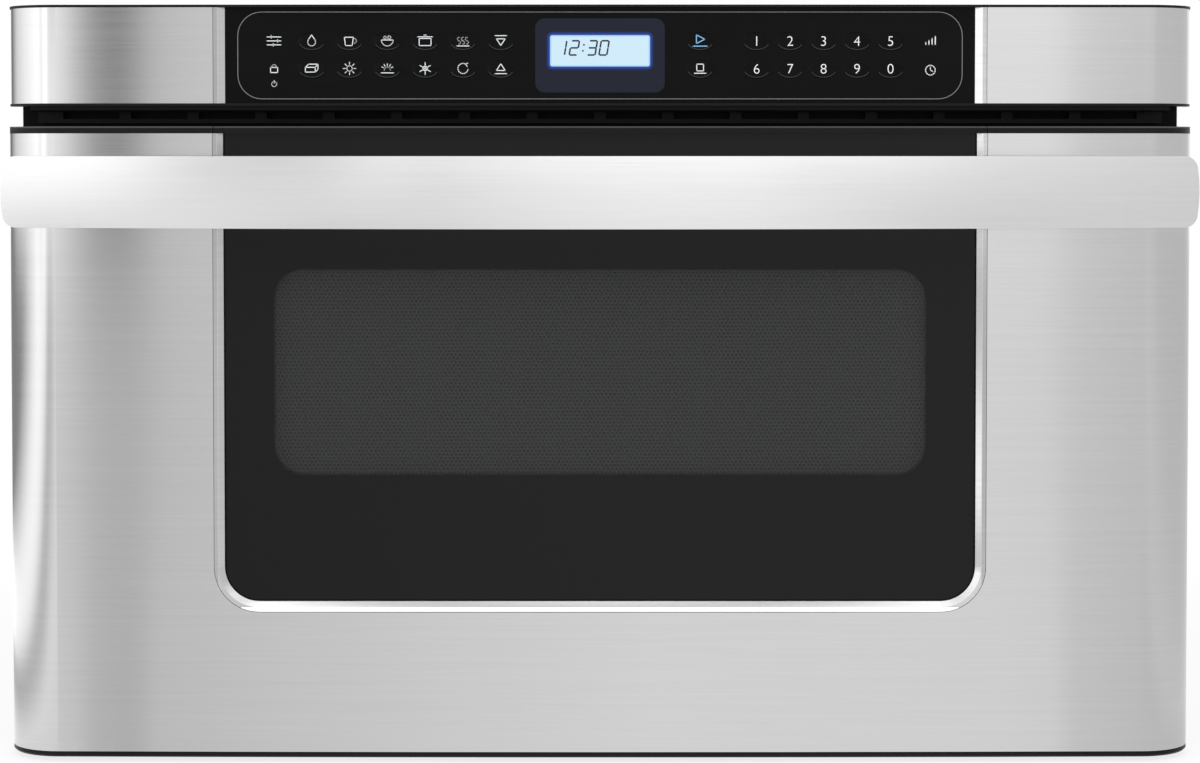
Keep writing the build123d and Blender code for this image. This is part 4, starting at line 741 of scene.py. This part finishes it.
def drawn_lines(mesh, centre, lines, width, y):
    """Printed strokes, and strokes of painted highlight, in millimetres from the centre of a key, each joint a small
    round dot.
    """
    for line in lines:
        for start, end in zip(line, line[1:]):
            run = math.hypot(end[0] - start[0], end[1] - start[1])
            turn = math.atan2(end[1] - start[1], end[0] - start[0])
            middle = (centre[0] + (start[0] + end[0]) / 2000, y, centre[1] + (start[1] + end[1]) / 2000)
            at = Matrix.Translation(middle) @ Matrix.Rotation(-turn, 4, "Y") @ upright
            stroke = at @ Matrix.Diagonal((run / 1000, width / 1000, 1, 1))
            bmesh.ops.create_grid(mesh, x_segments=1, y_segments=1, size=0.5, matrix=stroke)
        for point in line:
            at = Matrix.Translation((centre[0] + point[0] / 1000, y, centre[1] + point[1] / 1000)) @ upright
            bmesh.ops.create_circle(mesh, cap_ends=True, segments=8, radius=width / 2000, matrix=at)


drop = [[(0, 3.0), (-1.6, 0.6)] + arc(0, -0.6, 2.0, 143, 397) + [(0, 3.0)]]
cup = [[(-2.6, 1.8), (-2.0, -2.4), (1.4, -2.4), (2.0, 1.8), (-2.6, 1.8)], arc(2.2, 0.0, 1.3, 80, -80, 8)]
bowl = [arc(0, 0.4, 3.0, 180, 360) + [(-3.0, 0.4)], arc(-1.2, 1.6, 0.7, 0, 360, 8), arc(1.0, 1.7, 0.8, 0, 360, 8)]
pot = [
    [(-3.0, -2.4), (-3.0, 1.2), (3.0, 1.2), (3.0, -2.4), (-3.0, -2.4)],
    [(-3.8, 2.0), (3.8, 2.0)],
    [(-0.6, 2.9), (0.6, 2.9)],
]
steam = [[(-3.2, -2.6), (3.2, -2.6)]] + [
    arc(x, -0.9, 0.8, -90, 90, 6) + arc(x, 0.9, 0.8, 270, 90, 6) for x in (-2.0, 0.0, 2.0)
]
pull_out = [[(-3.0, 2.6), (3.0, 2.6)], [(-2.2, 1.0), (0, -2.4), (2.2, 1.0), (-2.2, 1.0)]]
slab = [
    [(-3.2, -1.8), (1.8, -1.8), (1.8, 0.6), (-3.2, 0.6), (-3.2, -1.8)],
    [(-3.2, 0.6), (-1.6, 2.2), (3.2, 2.2), (1.8, 0.6)],
    [(3.2, 2.2), (3.2, -0.4), (1.8, -1.8)],
]
sun = [arc(0, 0, 1.4, 0, 360)] + [
    [(2.1 * math.cos(a), 2.1 * math.sin(a)), (3.2 * math.cos(a), 3.2 * math.sin(a))]
    for a in (step * math.pi / 4 for step in range(8))
]
keep = [arc(0, -0.8, 1.5, 0, 180), [(-3.2, -2.2), (3.2, -2.2)]] + [
    [(2.2 * math.cos(a), 2.2 * math.sin(a) - 0.8), (3.3 * math.cos(a), 3.3 * math.sin(a) - 0.8)]
    for a in (step * math.pi / 6 for step in range(1, 6))
]
flake = [
    [(-3.1 * math.cos(a), -3.1 * math.sin(a)), (3.1 * math.cos(a), 3.1 * math.sin(a))]
    for a in (math.pi / 6 + step * math.pi / 3 for step in range(3))
] + [arc(0, 0, 1.3, 30, 390, 6)]
again = [arc(0, 0, 2.6, 60, 350), [(2.5, 2.7), (1.3, 2.25), (2.1, 1.0)]]
push_in = [[(-3.0, -2.6), (3.0, -2.6)], [(-2.2, -1.0), (0, 2.4), (2.2, -1.0), (-2.2, -1.0)]]
sliders = [[(-3.6, z), (3.6, z)] for z in (2.0, 0.0, -2.0)] + [
    [(x, z - 0.7), (x, z + 0.7)] for x, z in ((-1.4, 2.0), (1.8, 0.0), (-0.4, -2.0))
]
padlock = [[(-1.8, -2.2), (1.8, -2.2), (1.8, 0.4), (-1.8, 0.4), (-1.8, -2.2)], arc(0, 0.6, 1.2, 0, 180, 8)]
power = [arc(0, 0, 1.3, 125, 415), [(0, 0.4), (0, 1.9)]]
play = [[(-1.9, 3.0), (-1.9, -1.4), (2.3, 0.8), (-1.9, 3.0)], [(-3.6, -2.7), (3.6, -2.7)]]
stop = [[(-1.7, 2.2), (1.7, 2.2), (1.7, -1.2), (-1.7, -1.2), (-1.7, 2.2)], [(-3.0, -2.4), (3.0, -2.4)]]
level = [[(x, -2.0), (x, -1.0 + step)] for step, x in enumerate((-2.4, -0.8, 0.8, 2.4))]
clock = [arc(0, 0, 2.5, 0, 360), [(0, 1.5), (0, 0), (1.2, -0.6)]]

legend_y = film_front - 0.00031
sign_lift = 0.0004
sign_stroke = 0.42
mesh = bmesh.new()
for signs, row in zip(((drop, cup, bowl, pot, steam, pull_out), (slab, sun, keep, flake, again, push_in)), key_rows):
    for sign, column in zip(signs, function_columns):
        drawn_lines(mesh, (column, row + sign_lift), sign, sign_stroke, legend_y)
drawn_lines(mesh, (left_column, 0.3658), sliders, sign_stroke, legend_y)
drawn_lines(mesh, (left_column, 0.3520), padlock, sign_stroke, legend_y)
drawn_lines(mesh, (left_column, 0.3440), power, 0.36, legend_y)
drawn_lines(mesh, (start_column, key_rows[1] + sign_lift), stop, 0.45, legend_y)
drawn_lines(mesh, (right_column, 0.3660), level, 0.55, legend_y)
drawn_lines(mesh, (right_column, 0.3510), clock, 0.45, legend_y)


numeral_height = 0.0050
numeral_lift = 0.0003
capital_share = 0.69  # a digit's height as a share of the type size


def numeral(text, height, x, z, y):
    """The flat mesh of a plain number that faces the front."""
    curve = bpy.data.curves.new("numeral", "FONT")
    curve.body = text
    curve.size = height / capital_share
    curve.align_x = "CENTER"
    curve.offset = -0.0001
    shape = bpy.data.objects.new("numeral", curve)
    bpy.context.scene.collection.objects.link(shape)
    flat = bpy.data.meshes.new_from_object(shape)
    bpy.data.objects.remove(shape)
    flat.transform(Matrix.Translation((x, y, z - height / 2)) @ upright)
    return flat


for row, digits in zip(key_rows, ("12345", "67890")):
    for digit, column in zip(digits, digit_columns):
        mesh.from_mesh(numeral(digit, numeral_height, column, row + numeral_lift, legend_y))
piece(mesh, "key_legends", "chassis", legend_finish, smooth=False)

# Light strokes along the lower arc of each key: a painted highlight of the key's embossed edge.
rim_highlight_finish, place = new_finish("painted_key_highlight")
highlight_grain = place.noise(500.0, 2.0)
complete(
    place,
    {
        "Base Color": highlight_grain.mix((0.022, 0.023, 0.025), (0.040, 0.042, 0.045)),
        "Roughness": highlight_grain * 0.1 + 0.4,
    },
)
mesh = bmesh.new()
lower_arc_highlight = [(6.3 * x, 4.0 * z) for x, z in arc(0, 0, 1.0, 200, 340, 14)]
for column in function_columns + digit_columns + [start_column]:
    for row in key_rows:
        drawn_lines(mesh, (column, row), [lower_arc_highlight], 0.34, legend_y)
piece(mesh, "painted_key_highlights", "chassis", rim_highlight_finish, smooth=False)

mesh = bmesh.new()
drawn_lines(mesh, (start_column, key_rows[0] + sign_lift), play, 0.5, legend_y)
piece(mesh, "start_legend", "chassis", start_finish, smooth=False)


# ---- Display ----
# A backlit liquid-crystal display shows the time in slanted seven-part digits. A dark blue window with a
# clear middle lies over it and glows at its inner edge.
lcd_half_width = 0.0253
lcd_low = 0.3529
lcd_high = 0.3687
lcd_corner = 0.0012
pane_back = -0.29212
pane_thickness = 0.00063
pane_corner = 0.0048

backlight, place = new_finish("backlit_display")
across = abs(place.part(0)) / lcd_half_width
upward = abs(place.part(2) - (lcd_low + lcd_high) / 2) / ((lcd_high - lcd_low) / 2)
edge = across.step(0.955, 1.0).at_least(upward.step(0.87, 1.0))
even = place.noise(60.0, 2.0)
lit = edge.mix((0.64, 0.83, 0.94), (0.34, 0.62, 0.92))
complete(
    place,
    {
        "Base Color": (0.02, 0.03, 0.04),
        "Roughness": even * 0.1 + 0.3,
        "Specular IOR Level": 0.1,
        "Emission Color": lit,
        "Emission Strength": 1.0,
    },
)
dress(backlight, "lcd_module")

tint, place = new_finish("blue_display_window")
outside = beyond(place, lcd_half_width, lcd_low, lcd_high, lcd_corner)
frosted = outside.step(-0.0001, 0.0003)
halo = 1.0 - outside.step(0.0003, 0.0021)
complete(
    place,
    {
        "Base Color": (0.004, 0.005, 0.010),
        "Roughness": place.noise(300.0, 2.0) * 0.06 + 0.20,
        "Specular IOR Level": 0.2,
        "Emission Color": halo.mix((0.0022, 0.0038, 0.0125), (0.008, 0.055, 0.36)),
        "Emission Strength": 0.9,
        "Alpha": frosted * 0.98 + 0.02,
    },
)
mesh = bmesh.new()
rim = rounded_loop(mesh, display_low, display_high, pane_corner, pane_back)
thicken(mesh, bmesh.ops.contextual_create(mesh, geom=rim)["faces"], pane_thickness)
display_pane = piece(mesh, "display_pane", "chassis", tint)
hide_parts("display_window")

ink_finish, place = new_finish("display_ink")
fade = place.noise(400.0, 2.0)
complete(
    place,
    {
        "Base Color": fade.mix((0.010, 0.013, 0.008), (0.020, 0.024, 0.015)),
        "Roughness": fade * 0.1 + 0.5,
    },
)
digit_width = 4.0
digit_height = 7.2
slant = 0.17
digits_middle = (0, 0.3623)
digits_y = -0.29206
digit_stroke = 0.85
colon_stroke = 0.95
segment_ends = {
    "a": ((0, 1), (1, 1)),
    "b": ((1, 1), (1, 0.5)),
    "c": ((1, 0.5), (1, 0)),
    "d": ((0, 0), (1, 0)),
    "e": ((0, 0.5), (0, 0)),
    "f": ((0, 1), (0, 0.5)),
    "g": ((0, 0.5), (1, 0.5)),
}
mesh = bmesh.new()
for left, lit_segments in ((-21.4, "bc"), (-15.0, "abged"), (-5.9, "abgcd"), (0.05, "abcdef")):
    for segment in lit_segments:
        (x0, z0), (x1, z1) = segment_ends[segment]
        ends = []
        for x, z in ((x0 * 0.86 + x1 * 0.14, z0 * 0.88 + z1 * 0.12), (x0 * 0.14 + x1 * 0.86, z0 * 0.12 + z1 * 0.88)):
            rise = (z - 0.5) * digit_height
            ends.append((left + x * digit_width + rise * slant, rise))
        drawn_lines(mesh, digits_middle, [ends], digit_stroke, digits_y)
for z in (-1.5, 1.5):
    drawn_lines(mesh, digits_middle, [[(-8.4 + z * slant, z), (-8.39 + z * slant, z)]], colon_stroke, digits_y)
piece(mesh, "clock_digits", "chassis", ink_finish, smooth=False)


# ---- Screws ----
# Zinc-plated pan-head screws hold the back plate, two to a side. Each head is a low cone with a shallow round
# recess pressed into it.
screw_x = 0.267
screw_heights = (0.0132, 0.359)
back_plate_y = 0.3330
head_height = 0.0020
rim_radius = 0.0036
crown_radius = 0.0030
recess_inset = 0.0014

screw_finish, place = new_finish("screw_steel")
swirl = place.noise(900.0, 2.0)
complete(
    place,
    {
        "Base Color": swirl.mix((0.55, 0.55, 0.54), (0.72, 0.72, 0.71)),
        "Metallic": 1.0,
        "Roughness": swirl * 0.15 + 0.22,
        "Normal": swirl.bump(0.1, 0.0001),
    },
)
for number, (x, z) in enumerate([(x, z) for z in screw_heights for x in (-screw_x, screw_x)], start=1):
    mesh = bmesh.new()
    facing_back = Matrix.Translation((x, back_plate_y, z)) @ Matrix.Rotation(-math.pi / 2, 4, "X")
    bmesh.ops.create_cone(
        mesh,
        cap_ends=True,
        segments=24,
        radius1=rim_radius,
        radius2=crown_radius,
        depth=head_height,
        matrix=facing_back @ Matrix.Translation((0, 0, head_height / 2)),
    )
    top = max(mesh.faces, key=lambda face: face.calc_center_median().y)
    bmesh.ops.inset_individual(mesh, faces=[top], thickness=recess_inset)
    bmesh.ops.translate(mesh, verts=top.verts, vec=(0, -head_height / 2, 0))
    piece(mesh, "back_screw_%d" % number, "chassis", screw_finish)


# ---- Studio ----
# Pale floor and white surroundings, soft lamps in front and above, and the camera a little above the handle.
# Steel shows the studio as upright bands, so its brightness is given by the angle from straight ahead.
narrow_span = 32
wide_span = 360
brightest = 2  # a ramp's colours stop at 1, so they are written as shares of this


def bands(side, ahead, wide, narrow):
    """Pairs of an angle in degrees, positive to the right, and a brightness up to 2; narrow holds within 16."""
    angle = side.maths("ARCTAN2", side, ahead) * (180 / math.pi)
    ramps = []
    for levels, span in ((narrow, narrow_span), (wide, wide_span)):
        stops = [(0.5 + degrees / span, (level / brightest,) * 3) for degrees, level in levels]
        ramps.append(angle.node("ShaderNodeValToRGB", {0: angle / span + 0.5}, stops=stops))
    return abs(angle).step(14.5, 16.0).mix(*ramps)


floor_finish, place = new_finish("studio_floor")
paper = place.noise(30.0, 3.0)
shader = place.node(
    "ShaderNodeBsdfPrincipled",
    {"Base Color": paper.mix((0.80, 0.80, 0.80), (0.84, 0.84, 0.84)), "Roughness": paper * 0.1 + 0.7},
)
across = place.part(0)
along = place.part(1)
vanishing_point = 0.93  # on the floor behind the part, where the bands meet
floor_bands = bands(
    across,
    vanishing_point - along,
    (
        (-180, 1.00),
        (-160, 0.60),
        (-140, 0.30),
        (-75, 0.30),
        (-57, 0.92),
        (-45, 1.45),
        (-37, 1.55),
        (-30, 1.38),
        (-27.5, 1.00),
        (-25, 0.66),
        (-22, 0.62),
        (-19, 0.88),
        (-16, 1.10),
        (-14, 1.06),
        (14, 0.76),
        (20, 0.84),
        (40, 0.76),
        (110, 0.72),
        (150, 0.80),
        (180, 1.00),
    ),
    (
        (-16, 1.08),
        (-13.1, 1.00),
        (-12.7, 0.92),
        (-12.2, 0.84),
        (-11.8, 0.72),
        (-11.2, 0.68),
        (-10.8, 0.70),
        (-10.4, 0.79),
        (-8.3, 0.85),
        (-3.6, 0.95),
        (1.2, 1.02),
        (9.3, 1.00),
        (10.6, 0.97),
        (11.1, 0.86),
        (12.7, 0.79),
        (16, 0.77),
    ),
)
reflected = place.node(
    "ShaderNodeBsdfPrincipled",
    {
        "Base Color": (0.0, 0.0, 0.0),
        "Specular IOR Level": 0.0,
        "Emission Color": floor_bands,
        "Emission Strength": brightest,
    },
)
mirrored = place.node("ShaderNodeLightPath", {}, output="Is Glossy Ray")
blend = place.node("ShaderNodeMixShader", {0: mirrored, 1: shader, 2: reflected})
seen = place.node("ShaderNodeLightPath", {}, output="Is Camera Ray")
through = place.node("ShaderNodeLightPath", {}, output="Is Transmission Ray")
glow = place.node("ShaderNodeEmission", {"Color": (1.0, 1.0, 1.0), "Strength": 1.0})
away = (across * across + along * along).root().step(0.45, 1.1)
blend = place.node("ShaderNodeMixShader", {0: seen.at_least(through) * (away * 0.2 + 0.8), 1: blend, 2: glow})
place.node("ShaderNodeOutputMaterial", {"Surface": blend})
floor_z = -0.0004
mesh = bmesh.new()
bmesh.ops.create_grid(mesh, x_segments=1, y_segments=1, size=9.0, matrix=Matrix.Translation((0, 0, floor_z)))
data = bpy.data.meshes.new("studio_floor")
mesh.to_mesh(data)
mesh.free()
data.materials.append(floor_finish)
floor = bpy.data.objects.new("studio_floor", data)
bpy.context.scene.collection.objects.link(floor)

world = bpy.data.worlds.new("studio")
world.use_nodes = True
world.node_tree.nodes.clear()
air = Finish(world.node_tree)
heading = air.node("ShaderNodeTexCoord", {}, output="Generated")
side = heading.part(0)
ahead = 0.0 - heading.part(1)
walls = bands(
    side,
    ahead,
    (
        (-180, 0.80),
        (-158, 0.30),
        (-140, 0.25),
        (-113, 1.05),
        (-89, 1.38),
        (-69, 1.58),
        (-51, 1.72),
        (-43, 1.40),
        (-37, 1.80),
        (-30, 1.70),
        (-25, 1.55),
        (-19, 1.50),
        (-14, 1.60),
        (14, 0.82),
        (20, 0.86),
        (40, 0.80),
        (110, 0.76),
        (180, 0.80),
    ),
    (
        (-16, 1.55),
        (-12.8, 1.60),
        (-12.4, 1.12),
        (-12.1, 0.62),
        (-11.8, 0.31),
        (-11.2, 0.24),
        (-10.85, 0.50),
        (-10.5, 0.80),
        (-9, 0.90),
        (-4, 1.06),
        (9, 1.16),
        (10.8, 1.14),
        (11.2, 0.94),
        (12.8, 0.82),
        (16, 0.92),
    ),
)
turned = side / ahead
upper = heading.part(2).step(0.045, 0.09) * ahead.step(0.0, 0.1)
dimmed = upper * turned.step(-0.62, -0.50) * (1.0 - turned.step(-0.34, -0.22))
lifted = upper * turned.step(0.12, 0.25) * (1.0 - turned.step(0.60, 0.85))
strength = brightest - dimmed * 1.24 + lifted * 0.44
room = air.node("ShaderNodeBackground", {"Color": walls, "Strength": strength})
white = air.node("ShaderNodeBackground", {"Color": (1.0, 1.0, 1.0), "Strength": 1.0})
seen = air.node("ShaderNodeLightPath", {}, output="Is Camera Ray")
through = air.node("ShaderNodeLightPath", {}, output="Is Transmission Ray")
mirrored = air.node("ShaderNodeLightPath", {}, output="Is Glossy Ray")
behind = (0.0 - ahead).step(0.0, 0.3) * side.step(-0.5, -0.3) * (1.0 - side.step(0.60, 0.75))
overhead = heading.part(2).step(0.3, 0.75)
backdrop = seen.at_least(through).at_least(mirrored * behind)
ceiling = air.node("ShaderNodeBackground", {"Color": (1.0, 1.0, 1.0), "Strength": 1.3})
mixed = air.node("ShaderNodeMixShader", {0: overhead, 1: room, 2: ceiling})
mixed = air.node("ShaderNodeMixShader", {0: backdrop, 1: mixed, 2: white})
air.node("ShaderNodeOutputWorld", {"Surface": mixed})
bpy.context.scene.world = world


def soft_lamp(name, place_at, width, height, power):
    """A rectangular area light aimed at the middle of the part."""
    light = bpy.data.lights.new(name, "AREA")
    light.shape = "RECTANGLE"
    light.size = width
    light.size_y = height
    light.energy = power
    lamp_object = bpy.data.objects.new(name, light)
    bpy.context.scene.collection.objects.link(lamp_object)
    aim = (Vector((0, 0, 0.2)) - Vector(place_at)).to_track_quat("-Z", "Y")
    lamp_object.matrix_world = Matrix.Translation(place_at) @ aim.to_matrix().to_4x4()


soft_lamp("front_softbox", (0.25, -2.6, 2.0), 2.0, 1.2, 9)
soft_lamp("top_softbox", (0, 0.2, 2.6), 2.0, 2.0, 8)

face_y = -0.300
view_height = 0.308
view_distance = 1.45
view_pitch = math.radians(2.0)
camera_data = bpy.data.cameras.new("camera")
camera_data.lens = 86.2
camera_data.sensor_width = 36.0
camera_data.shift_y = -0.105
camera = bpy.data.objects.new("camera", camera_data)
bpy.context.scene.collection.objects.link(camera)
camera.location = (0, face_y - view_distance, view_height)
camera.rotation_euler = Euler((math.pi / 2 - view_pitch, 0, 0))
bpy.context.scene.camera = camera
bpy.context.scene.view_settings.view_transform = "Standard"

bpy.context.view_layer.update()
